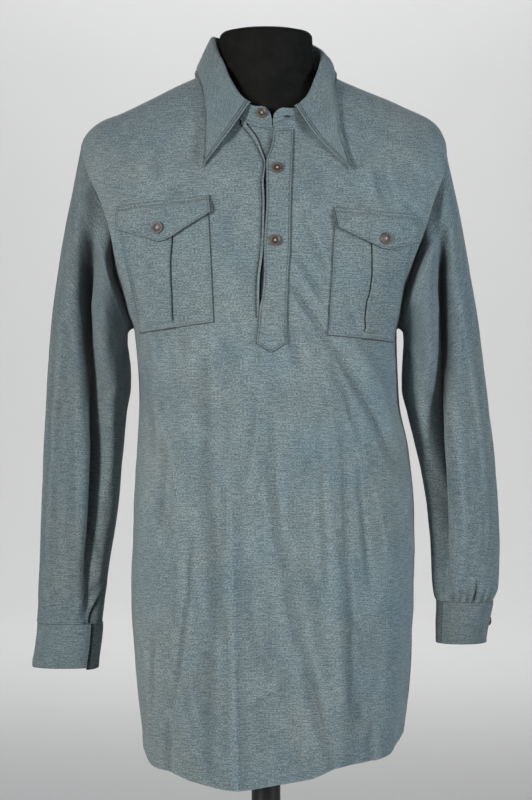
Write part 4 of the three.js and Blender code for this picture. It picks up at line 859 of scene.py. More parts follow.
def leafGrid():
    edge = table("turn x y z", [(turn, x, depth(x, z) - collar["clear"] - collar["leafThick"] if y is None
                                 else y, z) for turn, x, y, z in leafEdge])
    turn = np.linspace(edge["turn"][0], edge["turn"][-1], 331)
    fold = foldPoint(turn, collarHeight(turn))
    out = vec(np.sin(np.radians(turn)), -np.cos(np.radians(turn)), 0 * turn)
    low = vec(*[read(edge, "turn", turn, name) for name in "xyz"])
    shoulder = fold + out * (collar["roll"] + 1) + vec(0, 0, collar["rollLift"] - 1.6)
    ends = (turn < 80) | (turn > 280)
    bow = collar["rightBow"] * (1 - smooth(turn, 29, 52)) - collar["leftBow"] * smooth(turn, 325, 344)
    rows = []
    for share in collar["rows"]:
        p = mix(low, shoulder, share) + out * 2.2 * np.sin(np.pi * share)
        p[:, 0] -= bow * np.sin(np.pi * share)
        p[:, 2] -= np.abs(bow) * 0.7 * np.sin(np.pi * share)
        resting = depth(p[:, 0], p[:, 2]) - collar["clear"] - collar["leafThick"]
        p[:, 1] = np.where(ends, np.minimum(p[:, 1], resting), p[:, 1])
        rows.append(p)
    rows += [shoulder, fold + out * (collar["roll"] - 1.2) + vec(0, 0, collar["rollLift"]),
             fold - out * 1.4 + vec(0, 0, collar["rollLift"] - 0.2)]
    return curveThrough(np.array(rows), 71)


stand = spacedRows(standGrid(), [0, 1.2, 2.4, 3.6, 5], [0, 1, 2.2, 3.4], 14)
first, last, low, high = edgeDistances(stand)
near = np.minimum(np.minimum(first, last), high)
grooves = 0.3 * bell(low, 3.6, 1.0) + 0.2 * bell(near, 2.4, 0.9)
creased = 0.4 * softNoise(first / 22, low / 14, 81) * smooth(near, 0, 5)
standOut = unit(stand * np.array([1, 1, 0]))
stand = stand + standOut * (creased - grooves)[..., None]
hole = np.hypot((stand[..., 0] - 26.5) / 5.2, (stand[..., 2] - 1093) / 1.5)
hole = np.where((stand[..., 1] < 0) & (stand[..., 0] > 8), np.exp(-(hole**4)), 0)
stand = stand - standOut * (0.8 * hole)[..., None]
# Painted shade in the stitch groove and in the buttonhole's slit
standMarks = {"edge": near, "paintedShade": np.maximum(0.45 * bell(low, 3.6, 0.6), 0.95 * hole)}
standPiece = place(makeShell("collarStand", stand, collar["standThick"], greyCloth, vec(first, low + 900),
                             standMarks, normals=standOut), "cloth", "collar_stand")

leaf = spaced(leafGrid(), collar["edge"], collar["edge"], 120)
leaf = spacedRows(leaf, collar["edge"], [0, 1, 2, 3, 4.5, 6], 20)
first, last, low, high = edgeDistances(leaf)
acrossWay, upWay = unit(np.gradient(leaf, axis=1)), unit(np.gradient(leaf, axis=0))
for fromEnd, way, radius in ((first, 1, 5.5), (last, -1, 4)):  # rounded tips
    a, b = np.maximum(0, radius - fromEnd), np.maximum(0, radius - low)
    reach = np.hypot(a, b)
    inwards = acrossWay * (way * a)[..., None] + upWay * b[..., None]
    leaf = leaf + unit(inwards) * np.maximum(0, reach - radius)[..., None]
near = np.minimum(np.minimum(first, last), low)
piped = np.interp(near, collar["edge"], [0.1, 0.9, 0.8, -0.4, 0.5, 0.6, -0.35, 0.05, 0])
soft = (0.9 * softNoise(first / 34, low / 24, 91) + 0.3 * softNoise(first / 12, low / 9, 92))
soft = soft * smooth(near, 4, 14) * smooth(high, 4, 16)
leaf = leaf + gridNormals(leaf) * (piped * smooth(high, 2, 8) + soft)[..., None]
# Painted shade in the two stitch grooves; the fold mark paints the soft bumps lighter and the dips darker
seamGrooveShade = 0.75 * bell(near, 2.5, 0.55) + 0.55 * bell(near, 5.8, 0.6)
leafMarks = {"edge": near * 0.55, "paintedShade": seamGrooveShade, "fold": np.clip(soft / 2, -1, 1)}
leafPiece = place(makeShell("collarLeaf", leaf, collar["leafThick"], greyCloth, vec(first, low + 1300),
                            leafMarks), "cloth", "collar_leaf")
print("collar made")


# Plackets

placket = dict(
    over=table("z start end", [(814, -11.5, 24.7), (831, -9.6, 25), (858, -7.4, 25.3), (868, -5, 25.6),
                               (902, -2.4, 27), (926, -2.4, 28.9), (986, 0.5, 30), (1034, 0.2, 32),
                               (1050, 5.2, 32.6), (1062, 7.6, 33), (1076, 8.8, 33)]),
    under=table("z start end", [(846, -13, 14), (937, -11, 16), (1026, -13, 18), (1083, -27, 17)]),
    point=11, lift=0.5, underLift=-3.4, thick=1.4, edge=[0, 0.7, 1.5, 2.4, 3.4, 4.6], crossZ=859,
    overFlat=(0.036, 0.275), overArea=0.0088, underFlat=(0.034, 0.235), underArea=0.0079)


def placketPlan(rows, point):
    # x and z over the strip, from its point or lower end up
    u = np.linspace(0, 1, 41)
    v = np.linspace(0, 1, 201)[:, None]
    rowZ = mix(rows["z"][0], rows["z"][-1], v)
    tip = point * (1 - np.abs(2 * u - 1))
    z = rowZ - tip * (1 - smooth(v, 0, 0.12))
    x = mix(read(rows, "z", rowZ, "start"), read(rows, "z", rowZ, "end"), u)
    return x, z


placketPuckers = [
    (14, 1046, 30, 1024, 2.6, -1.0, 1), (16, 1060, 30, 1042, 3, 0.7, 0), (6, 1006, 20, 998, 2.2, -0.9, 0),
    (8, 1000, 28, 982, 3, -1.0, 2), (12, 992, 29, 972, 3, 0.8, 0), (8, 960, 24, 944, 2.6, -0.9, 2),
    (10, 952, 27, 934, 3, 0.7, 0), (4, 918, 24, 917, 2.6, -0.8, 0), (6, 905, 26, 886, 3.5, -0.7, 2),
    (4, 880, 24, 868, 3, 0.6, 0)]


def rimShadow(near):
    # Painted shadow: the thin dark line where a piece's edge meets the panel under it
    return 0.75 * bell(near, 0, 0.5)


def stripShell(name, x, z, rise, thick, columns, rows, seed, node, groove=2.4, edges=None, shade=None):
    # A strip or patch on the front, with pillowed stitched edges
    edges = placket["edge"] if edges is None else edges
    flat = vec(x, 0 * z, z)
    flat = spacedRows(spaced(flat, edges, edges, columns), edges, edges, rows)
    x, z = flat[..., 0], flat[..., 2]
    first, last, low, high = edgeDistances(flat)
    near = np.minimum(np.minimum(first, last), np.minimum(low, high))
    bumps = 0.35 * softNoise(x / 15, z / 12, seed) + 0.15 * softNoise(x / 5, z / 6, seed + 1)
    if node == "placket_over":
        bumps = bumps + creaseRise(x, z, placketPuckers)
    lift = rise + thick + bumps * smooth(near, 0, 6) - 0.32 * bell(near, groove, 0.9)
    outer = onFront(x, z, lift)
    # Painted shade in the stitch groove, painted shadow along the rim, and any given painted shade
    paintedShade = np.maximum(0.45 * bell(near, groove, 0.6), rimShadow(near))
    if shade is not None:
        paintedShade = np.maximum(paintedShade, shade(x, z))
    marks = {"edge": near, "paintedShade": paintedShade}
    uv = vec(x + 37 * seed, z)
    piece = makeShell(name, outer, thick, greyCloth, uv, marks)
    return dict(piece=place(piece, "cloth", node), outer=outer, normals=gridNormals(outer))


overX, overZ = placketPlan(placket["over"], placket["point"])
placketOver = stripShell("placketOver", overX, overZ, placket["lift"], placket["thick"], 10, 110, 101,
                         "placket_over")
underX, underZ = placketPlan(placket["under"], 0)


def underShade(x, z):
    # Dark where the under strip lies in the slot, and beside the upper strip in the open V
    fromEdge = x - read(slitEdge, "z", z, "x")
    toUpper = read(placket["over"], "z", z, "start") - x
    shadow = np.maximum(0.9 * bell(fromEdge, 0, 2.2), 0.6 * bell(toUpper, 0, 3) * (z < 1064))
    return np.where(z < 1034, 0.9, np.where(fromEdge < 0, 0.9, shadow))


placketUnder = stripShell("placketUnder", underX, underZ, placket["underLift"], placket["thick"], 26, 110,
                          111, "placket_under", shade=underShade)
print("plackets made")


# Breast pockets and flaps

pocketSizes = dict(lift=0.5, thick=1.3, wide=105.0, high=137, pleatRise=2.0, pleatWide=2.3, flapLift=4.6,
                   flapBack=0.5, band=9, flat=(0.150, 0.150), flapFlat=(0.122, 0.062),
                   edge=[0, 0.7, 1.5, 2.4, 3.4, 4.6])
pockets = {
    "right": dict(sign=-1, top=(69.3, 975, 178.6, 962), bottom=(62, 839, 154, 828),
                  flapTop=(68.5, 992, 181, 981), flapLow=(66, 970.5, 124, 935, 179.5, 953), area=0.0170,
                  flapArea=0.0051, button=(129, 953),
                  pleat=table("z share", [
            (828, 0.44), (834, 0.455), (841, 0.485), (851, 0.51), (863, 0.5), (878, 0.488), (900, 0.474),
            (923, 0.45), (943, 0.415), (975, 0.4)])),
    "left": dict(sign=1, top=(82.8, 960, 179.6, 953), bottom=(74, 824, 156, 817),
                 flapTop=(82, 977.5, 182, 970), flapLow=(86, 952.5, 143, 927, 183, 939), area=0.0164,
                 flapArea=0.0043, button=(142, 941),
                 pleat=table("z share", [
            (815, 0.46), (827, 0.499), (837, 0.516), (850, 0.494), (864, 0.493), (879, 0.523), (895, 0.526),
            (915, 0.505), (935, 0.475), (960, 0.45)]))}


def corners(quad, u, v):
    innerX, innerZ, outerX, outerZ = quad
    return mix(innerX, outerX, u), mix(innerZ, outerZ, u)


def pocketShell(side, pocket):
    # Column shares run from the inner edge outwards, with the pleat's slit between two of them
    sizes = pocketSizes
    v = np.concatenate([np.linspace(0, 0.04, 6)[:-1], np.linspace(0.04, 0.96, 56),
                        np.linspace(0.96, 1, 6)[1:]])[:, None]
    width, high = sizes["wide"], sizes["high"]
    fine = np.array(sizes["edge"]) / width
    slit = sizes["pleatWide"] / width
    near = np.array([-2.4, -1.2, -0.5, -0.1, 0.15, 0.4, 0.65, 0.85, 1.0, 1.3, 1.9, 3.0]) * slit
    middleZ = mix(pocket["bottom"][1], pocket["top"][1], v)
    pleat = read(pocket["pleat"], "z", middleZ, "share")
    inner = np.concatenate([fine, np.linspace(fine[-1], 1, 18)[1:-1]])
    low = inner * (pleat + near[0])
    middle = pleat + near
    beyond = np.concatenate([np.linspace(1, fine[-1] * 1.8, 26)[1:-1], (fine * 1.8)[::-1]])
    outer = 1 - (1 - pleat - near[-1]) * beyond
    u = np.concatenate([low, middle, outer], 1)
    bottomX, bottomZ = corners(pocket["bottom"], u, v)
    topX, topZ = corners(pocket["top"], u, v)
    x, z = mix(bottomX, topX, v), mix(bottomZ, topZ, v)
    off = (u - pleat) / slit
    length = high * v
    closedEnd = smooth(length, 4, 12)  # the pleat is sewn shut at the bottom
    raised = sizes["pleatRise"] * smooth(off, 0.9, 1.3) * (1 - 0.75 * smooth(u, 0.62, 0.9))
    raised = raised * mix(0.45, 1, closedEnd)
    edgeNear = np.minimum(np.minimum(u, 1 - u) * width, np.minimum(length, high - length))
    bumps = 0.5 * softNoise(x / 30, z / 36, 121 + pocket["sign"]) + 0.2 * softNoise(x / 9, z / 12, 123)
    band = 0.35 * (1 - smooth(length, sizes["band"] - 0.8, sizes["band"] + 0.4)) * smooth(off, 0.9, 1.3)
    beside = (u - pleat) * width  # millimetres outside the pleat
    tab = smooth(beside, 0.6, 1.6) * (1 - smooth(beside, 21, 22)) * (1 - smooth(length, 7.6, 8.4))
    if pocket["sign"] < 0:
        bumps = bumps - 1.6 * bell(u, 0.86, 0.07) * smooth(length, 10, 40) * (1 - smooth(length, 70, 100))
    lift = sizes["lift"] + sizes["thick"] + bumps * smooth(edgeNear, 0, 8) + raised + band + 0.4 * tab
    stitched = bell(edgeNear, 2.4, 0.9)
    lift = lift - 0.32 * stitched
    inSlit = np.exp(-(((off - 0.45) / 0.42) ** 4)) * closedEnd
    lift = lift - 0.9 * inSlit
    # Painted shade inside the pleat's slit, in the stitch groove and along the band and tab lines, and
    # painted shadow along the rim
    dark = np.clip(0.97 * inSlit + 0.2 * stitched, 0, 1)
    bandLine = bell(length, sizes["band"], 0.8) * smooth(off, 1.2, 2)
    dark = np.maximum(dark, 0.3 * bandLine)
    tabLine = bell(length, 8.4, 0.6) * smooth(beside, 1, 3) * (1 - smooth(beside, 22, 24))
    dark = np.maximum(np.maximum(dark, 0.6 * tabLine), rimShadow(edgeNear))
    edgeNear = np.where(tab > 0.5, np.minimum(edgeNear, 0.6), edgeNear)
    lipped = smooth(off, 0.98, 1.0) * (1 - smooth(off, 1.35, 1.5))  # the pleat's light folded edge
    edgeNear = np.where(lipped > 0.3, np.minimum(edgeNear, 0.4), edgeNear)
    x = x * pocket["sign"]
    if pocket["sign"] < 0:
        x, z, lift, dark, edgeNear = (a[:, ::-1] for a in (x, z, lift, dark, edgeNear + 0 * x))
    outerGrid = onFront(x, z, lift)
    base = onFront(x, z, sizes["lift"])
    normals = frontNormal(x, z)
    thick = np.sum((outerGrid - base) * normals, -1)
    thick = np.where(thick < 0.5, 0.5, thick)
    uv = vec(x + 300, z + 11)
    piece = makeShell("pocket" + side.title(), outerGrid, thick, greyCloth, uv,
                      {"edge": edgeNear, "paintedShade": dark}, normals=normals)
    return place(piece, "cloth", "pocket_" + side), outerGrid


def flapPlan(pocket):
    u = np.linspace(0, 1, 61)
    v = np.linspace(1, 0, 41)[:, None]  # 1 is the lower edge
    innerX, innerZ, pointX, pointZ, outerX, outerZ = pocket["flapLow"]
    lowX = np.interp(u, [0, 0.5, 1], [innerX, pointX, outerX])
    lowZ = np.interp(u, [0, 0.5, 1], [innerZ, pointZ, outerZ])
    rounded = np.maximum(0, 1 - np.abs(u - 0.5) / 0.07)
    lowZ = lowZ + 2.2 * rounded**2
    topX, topZ = corners(pocket["flapTop"], u, v)
    return mix(topX, lowX, v) * pocket["sign"], mix(topZ, lowZ, v)


def flapShell(side, pocket):
    sizes = pocketSizes
    x, z = flapPlan(pocket)
    if pocket["sign"] < 0:
        x, z = x[:, ::-1], z[:, ::-1]
    flat = spaced(vec(x, 0 * z, z), sizes["edge"], sizes["edge"], 44)
    flat = spacedRows(flat, sizes["edge"], sizes["edge"], 18)
    x, z = flat[..., 0], flat[..., 2]
    first, last, low, high = edgeDistances(flat)
    near = np.minimum(np.minimum(first, last), low)
    rise = mix(sizes["flapBack"], sizes["flapLift"], smooth(high, 0, 14))
    bumps = 0.4 * softNoise(x / 20, z / 18, 131 + pocket["sign"]) + 0.15 * softNoise(x / 6, z / 7, 133)
    grooved = 0.35 * bell(near, 2.4, 0.9) + 0.35 * bell(high, 5, 1.0)
    outer = onFront(x, z, rise + sizes["thick"] + bumps * smooth(np.minimum(near, high), 0, 7) - grooved
                    + 0.3 * (1 - smooth(high, 4, 6)))
    # Painted shade in the stitch grooves and painted shadow along the rims
    dark = 0.35 * bell(near, 2.4, 0.7) + 0.45 * bell(high, 5, 0.8)
    dark = np.maximum(dark, rimShadow(np.minimum(near, high)))
    piece = makeShell("flap" + side.title(), outer, sizes["thick"], greyCloth, vec(x + 500, z + 31),
                      {"edge": np.minimum(near, high), "paintedShade": np.clip(dark, 0, 1)})
    return dict(piece=place(piece, "cloth", "flap_" + side), outer=outer, normals=gridNormals(outer))


flaps = {}
for side, pocket in pockets.items():
    pocket["piece"], pocket["outer"] = pocketShell(side, pocket)
    flaps[side] = flapShell(side, pocket)
print("pockets and flaps made")


# Buttons: a disc with a raised rim and a dark dished middle, crossed by pale thread

buttonSizes = dict(radius=7.2, small=6.6, thick=2.4, holeApart=2.4, turns=48)
# On the placket x and z, on the collar its turn and height, on the cuff its turn and z
buttonPlaces = dict(placket=((13.5, 1025), (11, 937)), collar=(np.array(356.0), 18), cuff=(22, 471))


def latheParts(profile, turns):
    profile = np.array(profile, float)
    angle = 2 * np.pi * np.arange(turns) / turns
    points = vec(profile[:, :1] * np.cos(angle), profile[:, :1] * np.sin(angle), profile[:, 1:] + 0 * angle)
    index = np.arange(len(profile) * turns).reshape(len(profile), turns)
    following = np.roll(index, -1, 1)
    quads = np.stack([index[:-1], following[:-1], following[1:], index[1:]], -1).reshape(-1, 4)
    points = points.reshape(-1, 3)
    caps = []
    for ring, z, flip in ((index[0], profile[0, 1], True), (index[-1], profile[-1, 1], False)):
        centre = len(points)
        points = np.vstack([points, [0, 0, z]])
        fan = np.stack([ring, np.roll(ring, -1), np.full(turns, centre)], -1)
        caps.append(fan[:, ::-1] if flip else fan)
    return points, quads, caps


def turned(points, seat, normal):
    rotation = np.array(Vector((0, 0, 1)).rotation_difference(Vector(normal)).to_matrix())
    return points @ rotation.T + seat


def makeButton(name, node, seat, normal, radius):
    s = buttonSizes
    inwards = [(1.0, 0), (0.25, 0.25), (0, 0.9), (0.1, 1.6), (0.5, 2.2), (1.1, s["thick"]), (1.9, 2.25),
               (2.5, 1.85), (3.1, 1.6), (4.4, 1.5)]
    profile = [(radius - inset, z) for inset, z in inwards] + [(0.4, 1.5)]
    points, quads, caps = latheParts(profile, s["turns"])
    piece = makeMesh(name, turned(points, seat, normal), [quads, *caps], brownButton, sharp=60)
    piece.data.materials.append(buttonDish)
    ringCount = len(profile) - 1
    for polygon in piece.data.polygons:
        ring = polygon.index // s["turns"]
        if 7 <= ring < ringCount or polygon.index >= ringCount * s["turns"] + s["turns"]:
            polygon.material_index = 1
    place(piece, "button", node)
    # Thread: two crossed loops between the holes
    threads = []
    for angle in (45, 135):
        a = np.radians(angle)
        along = np.linspace(-1, 1, 9)
        arch = vec(along * s["holeApart"] * np.cos(a) * 0.75, along * s["holeApart"] * np.sin(a) * 0.75,
                   1.45 + 0.55 * (1 - along**4))
        threads.append(tubeParts(arch, 0.34, 6))
    points, faces = joined(threads)
    place(makeMesh(name + "Thread", turned(points, seat, normal), faces, paleThread), "cloth")
    return piece


def tubeParts(path, radius, sides):
    path = np.asarray(path, float)
    tangent = unit(np.gradient(path, axis=0))
    side = unit(np.cross(tangent, np.array([0.13, 0.21, 1.0])))
    up = np.cross(side, tangent)
    angle = 2 * np.pi * np.arange(sides) / sides
    ring = side[:, None] * np.cos(angle)[:, None] + up[:, None] * np.sin(angle)[:, None]
    taper = np.ones(len(path))
    taper[[0, -1]] = 0.4
    points = (path[:, None] + ring * (radius * taper)[:, None, None]).reshape(-1, 3)
    index = np.arange(len(points)).reshape(len(path), sides)
    following = np.roll(index, -1, 1)
    quads = np.stack([index[:-1], index[1:], following[1:], following[:-1]], -1).reshape(-1, 4)
    start, end = index[0], index[-1]
    caps = [start[None, :], end[None, ::-1]]
    return points, [quads, *caps]


def joined(parts):
    points, faces, offset = [], [], 0
    for p, f in parts:
        points.append(p)
        faces += [np.asarray(face) + offset for face in f]
        offset += len(p)
    return np.vstack(points), faces


def frontSeat(x, z, rise):
    return onFront(np.array(x), np.array(z), rise), frontNormal(np.array(x), np.array(z))


for side, pocket in pockets.items():
    x, z = pocket["button"]
    seat, normal = frontSeat(pocket["sign"] * x, z, pocketSizes["flapLift"] + pocketSizes["thick"] + 0.2)
    makeButton("pocketButton" + side.title(), "pocket_button_" + side, seat, normal, buttonSizes["radius"])
for number, (x, z) in enumerate(buttonPlaces["placket"], 1):
    seat, normal = frontSeat(x, z, placket["lift"] + placket["thick"] + 0.2)
    makeButton(f"placketButton{number}", f"placket_button_{number}", seat, normal, buttonSizes["radius"])
collarSeat = foldPoint(*buttonPlaces["collar"])
collarOut = unit(unit(collarSeat * np.array([1, 1, 0])) * 30 + vec(0, 0, collar["lean"]))
makeButton("collarButton", "collar_button", collarSeat + collarOut * 0.6, collarOut, buttonSizes["small"])
wristTurn, wristZ = buttonPlaces["cuff"]
wrist = cuffRing(cuffs["left"], np.array(wristZ))
wristSeat = ringPoint(wrist, wristTurn, 1)
wristMiddle = np.array([(wrist["outX"] + wrist["inX"]) / 2, wrist["mid"], wristZ])
wristOut = unit(wristSeat - wristMiddle)
makeButton("cuffButtonLeft", "cuff_button_left", wristSeat + wristOut * 3.4, wristOut, buttonSizes["small"])
print("buttons made")


# Stitches, laid along paths by Geometry Nodes

stitchLook = dict(pitch=2.7, long=1.0, wide=0.24, seed=5)


def stitchTree():
    tree = bpy.data.node_groups.new("StitchRow", "GeometryNodeTree")
    face = tree.interface
    face.new_socket("Geometry", in_out="INPUT", socket_type="NodeSocketGeometry")
    for name in ("Pitch", "Half Length", "Half Width"):
        face.new_socket(name, in_out="INPUT", socket_type="NodeSocketFloat")
    face.new_socket("Thread", in_out="INPUT", socket_type="NodeSocketMaterial")
    face.new_socket("Geometry", in_out="OUTPUT", socket_type="NodeSocketGeometry")
    start = tree.nodes.new("NodeGroupInput").outputs
    curve = addNode(tree, "GeometryNodeMeshToCurve", {"Mesh": start["Geometry"]})
    points = addNode(tree, "GeometryNodeCurveToPoints", {"Curve": curve.outputs[0], "Length": start["Pitch"]},
                     mode="LENGTH")
    turn = addNode(tree, "FunctionNodeAlignRotationToVector", {"Vector": points.outputs["Tangent"]}, axis="Z")
    ball = addNode(tree, "GeometryNodeMeshUVSphere", {"Segments": 6, "Rings": 4, "Radius": 1.0})
    size = addNode(tree, "ShaderNodeCombineXYZ", {0: start["Half Width"], 1: start["Half Width"],
                                                  2: start["Half Length"]})
    uneven = addNode(tree, "FunctionNodeRandomValue", {2: 0.8, 3: 1.15, "Seed": stitchLook["seed"]},
                     data_type="FLOAT")
    scaled = addNode(tree, "ShaderNodeVectorMath", {0: size.outputs[0], "Scale": uneven.outputs[1]},
                     operation="SCALE")
    laid = addNode(tree, "GeometryNodeInstanceOnPoints", {
        "Points": points.outputs[0], "Instance": ball.outputs["Mesh"], "Rotation": turn.outputs[0],
        "Scale": scaled.outputs[0]})
    real = addNode(tree, "GeometryNodeRealizeInstances", {0: laid.outputs[0]})
    painted = addNode(tree, "GeometryNodeSetMaterial", {"Geometry": real.outputs[0],
                                                        "Material": start["Thread"]})
    end = tree.nodes.new("NodeGroupOutput")
    tree.links.new(painted.outputs[0], end.inputs[0])
    return tree


stitchRow = stitchTree()


def makeStitches(name, runs):
    points, edges, offset = [], [], 0
    for run in runs:
        points.append(run)
        edges += [(offset + k, offset + k + 1) for k in range(len(run) - 1)]
        offset += len(run)
    mesh = bpy.data.meshes.new(name + "Path")
    mesh.from_pydata((np.vstack(points) / 1000).tolist(), edges, [])
    path = bpy.data.objects.new(name + "Path", mesh)
    bpy.context.scene.collection.objects.link(path)
    modifier = path.modifiers.new("Stitches", "NODES")
    modifier.node_group = stitchRow
    values = {"Pitch": stitchLook["pitch"] / 1000, "Half Length": stitchLook["long"] / 1000,
              "Half Width": stitchLook["wide"] / 1000, "Thread": greyThread}
    for item in stitchRow.interface.items_tree:
        if item.in_out == "INPUT" and item.name in values:
            modifier[item.identifier] = values[item.name]
    graph = bpy.context.evaluated_depsgraph_get()
    made = bpy.data.meshes.new_from_object(path.evaluated_get(graph))
    bpy.data.objects.remove(path)
    made.name = name
    made.shade_smooth()
    piece = bpy.data.objects.new(name, made)
    bpy.context.scene.collection.objects.link(piece)
    return place(piece, "cloth")


def rowAt(outer, distance, axis, fromEnd=False):
    # The index whose mean distance from a grid's edge is nearest
    walked = walkedAlong(outer, axis).mean(1 - axis)
    walked = walked[-1] - walked if fromEnd else walked
    return int(np.argmin(np.abs(walked - distance)))


def run(outer, normals, rows, columns, rise=0.12):
    return outer[rows, columns] + normals[rows, columns] * rise


def framed(piece, inset, sides):
    # Stitch runs at one distance inside some of a grid's four sides: left, right, low, high
    outer, normals = piece["outer"], piece["normals"]
    left, right = rowAt(outer, inset, 1), rowAt(outer, inset, 1, True)
    low, high = rowAt(outer, inset, 0), rowAt(outer, inset, 0, True)
    across, along = slice(left, right + 1), slice(low, high + 1)
    found = {"left": (along, left), "right": (along, right), "low": (low, across), "high": (high, across)}
    return [run(outer, normals, *found[side]) for side in sides.split()]


def offsetRun(outer, normals, distance, axis, fromEnd, start=0, stop=None, rise=0.12):
    # A run at a true distance from an edge, found between the grid's lines
    lines = outer if axis == 1 else outer.transpose(1, 0, 2)
    facing = normals if axis == 1 else normals.transpose(1, 0, 2)
    made = []
    for line, out in list(zip(lines, facing))[start:stop]:
        walked = walkedAlong(line[None], 1)[0]
        at = walked[-1] - distance if fromEnd else distance
        made.append([np.interp(at, walked, line[:, k] + out[:, k] * rise) for k in range(3)])
    return np.array(made)


frontOuter, frontNormals = panels["front"]["outer"], panels["front"]["normals"]
backOuter, backNormals = panels["back"]["outer"], panels["back"]["normals"]
ventRowCount = panelCells["ventCells"] * panelCells["vent"]
bodyRuns = []
for outer, normals in ((frontOuter, frontNormals), (backOuter, backNormals)):
    bodyRuns.append(offsetRun(outer, normals, 12, 0, False))
    for fromEnd in (False, True):
        bodyRuns.append(offsetRun(outer, normals, 1.8, 1, fromEnd, ventRowCount + 1, len(outer) - 2))
        bodyRuns.append(offsetRun(outer, normals, 5, 1, fromEnd, 2, ventRowCount))
shoulder = body["shoulderCells"] * panelCells["across"]
bodyRuns.append(offsetRun(frontOuter, frontNormals, 5, 0, True, 2, shoulder))
bodyRuns.append(offsetRun(frontOuter, frontNormals, 5, 0, True, len(frontOuter[0]) - shoulder, -2))
bodyStitches = makeStitches("bodyStitches", bodyRuns)
sleeveRuns = []
for side in ("right", "left"):
    outer, normals = sleeves[side]["outer"], sleeves[side]["normals"]
    sleeveRuns.append(offsetRun(outer, normals, 2.2, 0, True))
    sleeveRuns += framed(cuffs[side], 2.4, "left right low high")
sleeveStitches = makeStitches("sleeveStitches", sleeveRuns)
leafGrids = dict(outer=leaf, normals=gridNormals(leaf))
collarRuns = framed(leafGrids, 2.5, "left right low") + framed(leafGrids, 5.6, "left right low")
collarRuns += framed(dict(outer=stand, normals=standOut), 3.6, "low")
collarStitches = makeStitches("collarStitches", collarRuns)
placketRuns = framed(placketOver, 3.8, "left") + framed(placketOver, 1.6, "right low")
crossRow = int(np.argmin(np.abs(placketOver["outer"][:, 10, 2] - placket["crossZ"])))
placketRuns.append(run(placketOver["outer"], placketOver["normals"], crossRow, slice(4, -4)))
placketStitches = makeStitches("placketStitches", placketRuns)
pocketRuns = []
for side, pocket in pockets.items():
    grids = dict(outer=pocket["outer"], normals=gridNormals(pocket["outer"]))
    pocketRuns += framed(grids, 2.4, "left right low")
    pocketRuns += framed(flaps[side], 2.4, "left right low")
    pocketRuns += framed(flaps[side], 5, "high")
pocketStitches = makeStitches("pocketStitches", pocketRuns)
print("stitches made")


# Display form, pole and base

formRings = table("z half front back across fall", [
    (480, 118, 84, 78, 2.2, 0.455), (486, 130, 93, 86, 2.2, 0.455), (500, 138, 98, 91, 2.2, 0.455),
    (560, 144, 102, 95, 2.2, 0.455), (650, 140, 99, 92, 2.2, 0.455), (746, 134, 99, 90, 2.2, 0.455),
    (833, 144, 111, 97, 2.2, 0.455), (900, 152, 117, 102, 2.2, 0.455), (950, 160, 110, 101, 2.15, 0.465),
    (1000, 174, 95, 92, 2.1, 0.476), (1040, 188, 79, 76, 2, 0.5), (1066, 196, 66, 66, 1.8, 0.56),
    (1084, 193, 60, 60, 1.6, 0.7), (1100, 182, 55, 56, 1.5, 1.05), (1118, 144, 54, 55, 1.5, 1.4),
    (1137, 97, 54, 54, 1.5, 1.45), (1144, 79, 54, 53, 1.6, 1.15), (1150, 66, 54, 52, 1.7, 0.85),
    (1162, 60, 54, 51, 2, 0.5), (1180, 59, 54, 50, 2, 0.5), (1200, 58, 53, 49, 2, 0.5),
    (1205, 53, 48, 44, 2, 0.5), (1208, 40, 35, 31, 2, 0.5)])
standSizes = dict(formTop=1209, formTurns=112, shrink=0.4, poleRadius=18, poleFrom=46.3, poleTo=479.7,
                  baseRadius=190, baseThick=12, hubRadius=30, hubTop=46)


def formMesh():
    s = standSizes
    z = np.unique(np.concatenate([np.linspace(480, 1208, 150), formRings["z"]]))[:, None]
    turn = 2 * np.pi * np.arange(s["formTurns"]) / s["formTurns"]
    ring = {name: read(formRings, "z", z, name) for name in ("half", "front", "back", "across", "fall")}
    c, t = np.cos(turn), np.sin(turn)
    x = np.sign(c) * np.abs(c) ** (2 / ring["across"]) * (ring["half"] - s["shrink"])
    reach = np.where(t < 0, ring["front"], ring["back"]) - s["shrink"]
    points = vec(x, np.sign(t) * np.abs(t) ** (2 * ring["fall"]) * reach, z).reshape(-1, 3)
    index = np.arange(len(points)).reshape(len(z), s["formTurns"])
    following = np.roll(index, -1, 1)
    quads = np.stack([index[:-1], following[:-1], following[1:], index[1:]], -1).reshape(-1, 4)
    points = np.vstack([points, [0, 0, 480], [0, -3, s["formTop"]]])
    below = np.stack([following[0], index[0], np.full(s["formTurns"], len(points) - 2)], -1)
    above = np.stack([index[-1], following[-1], np.full(s["formTurns"], len(points) - 1)], -1)
    return makeMesh("displayForm", points, [quads, below, above], blackForm, sharp=40)


place(formMesh(), "form", "display_form")
s = standSizes
poleProfile = [(s["poleRadius"] - 0.8, s["poleFrom"]), (s["poleRadius"], s["poleFrom"] + 0.8),
               (s["poleRadius"], s["poleTo"] - 0.8), (s["poleRadius"] - 0.8, s["poleTo"])]
points, quads, caps = latheParts(poleProfile, 64)
place(makeMesh("pole", points, [quads, *caps], blackPaint, sharp=30), "stand", "pole")
radius, thick, hub, hubTop = s["baseRadius"], s["baseThick"], s["hubRadius"], s["hubTop"]
baseProfile = [(radius - 1.5, 0), (radius, 1.5), (radius, thick - 3), (radius - 0.6, thick - 1.4),
               (radius - 1.6, thick - 0.4), (radius - 3, thick), (hub + 3, thick), (hub + 1.2, thick + 0.5),
               (hub + 0.3, thick + 1.6), (hub, thick + 3), (hub, hubTop - 3), (hub - 0.7, hubTop - 1.2),
               (hub - 3, hubTop)]
points, quads, caps = latheParts(baseProfile, 128)
place(makeMesh("base", points, [quads, *caps], blackPaint, sharp=30), "stand", "base")
print("form and stand made")


# Floor, backdrop, lights and camera

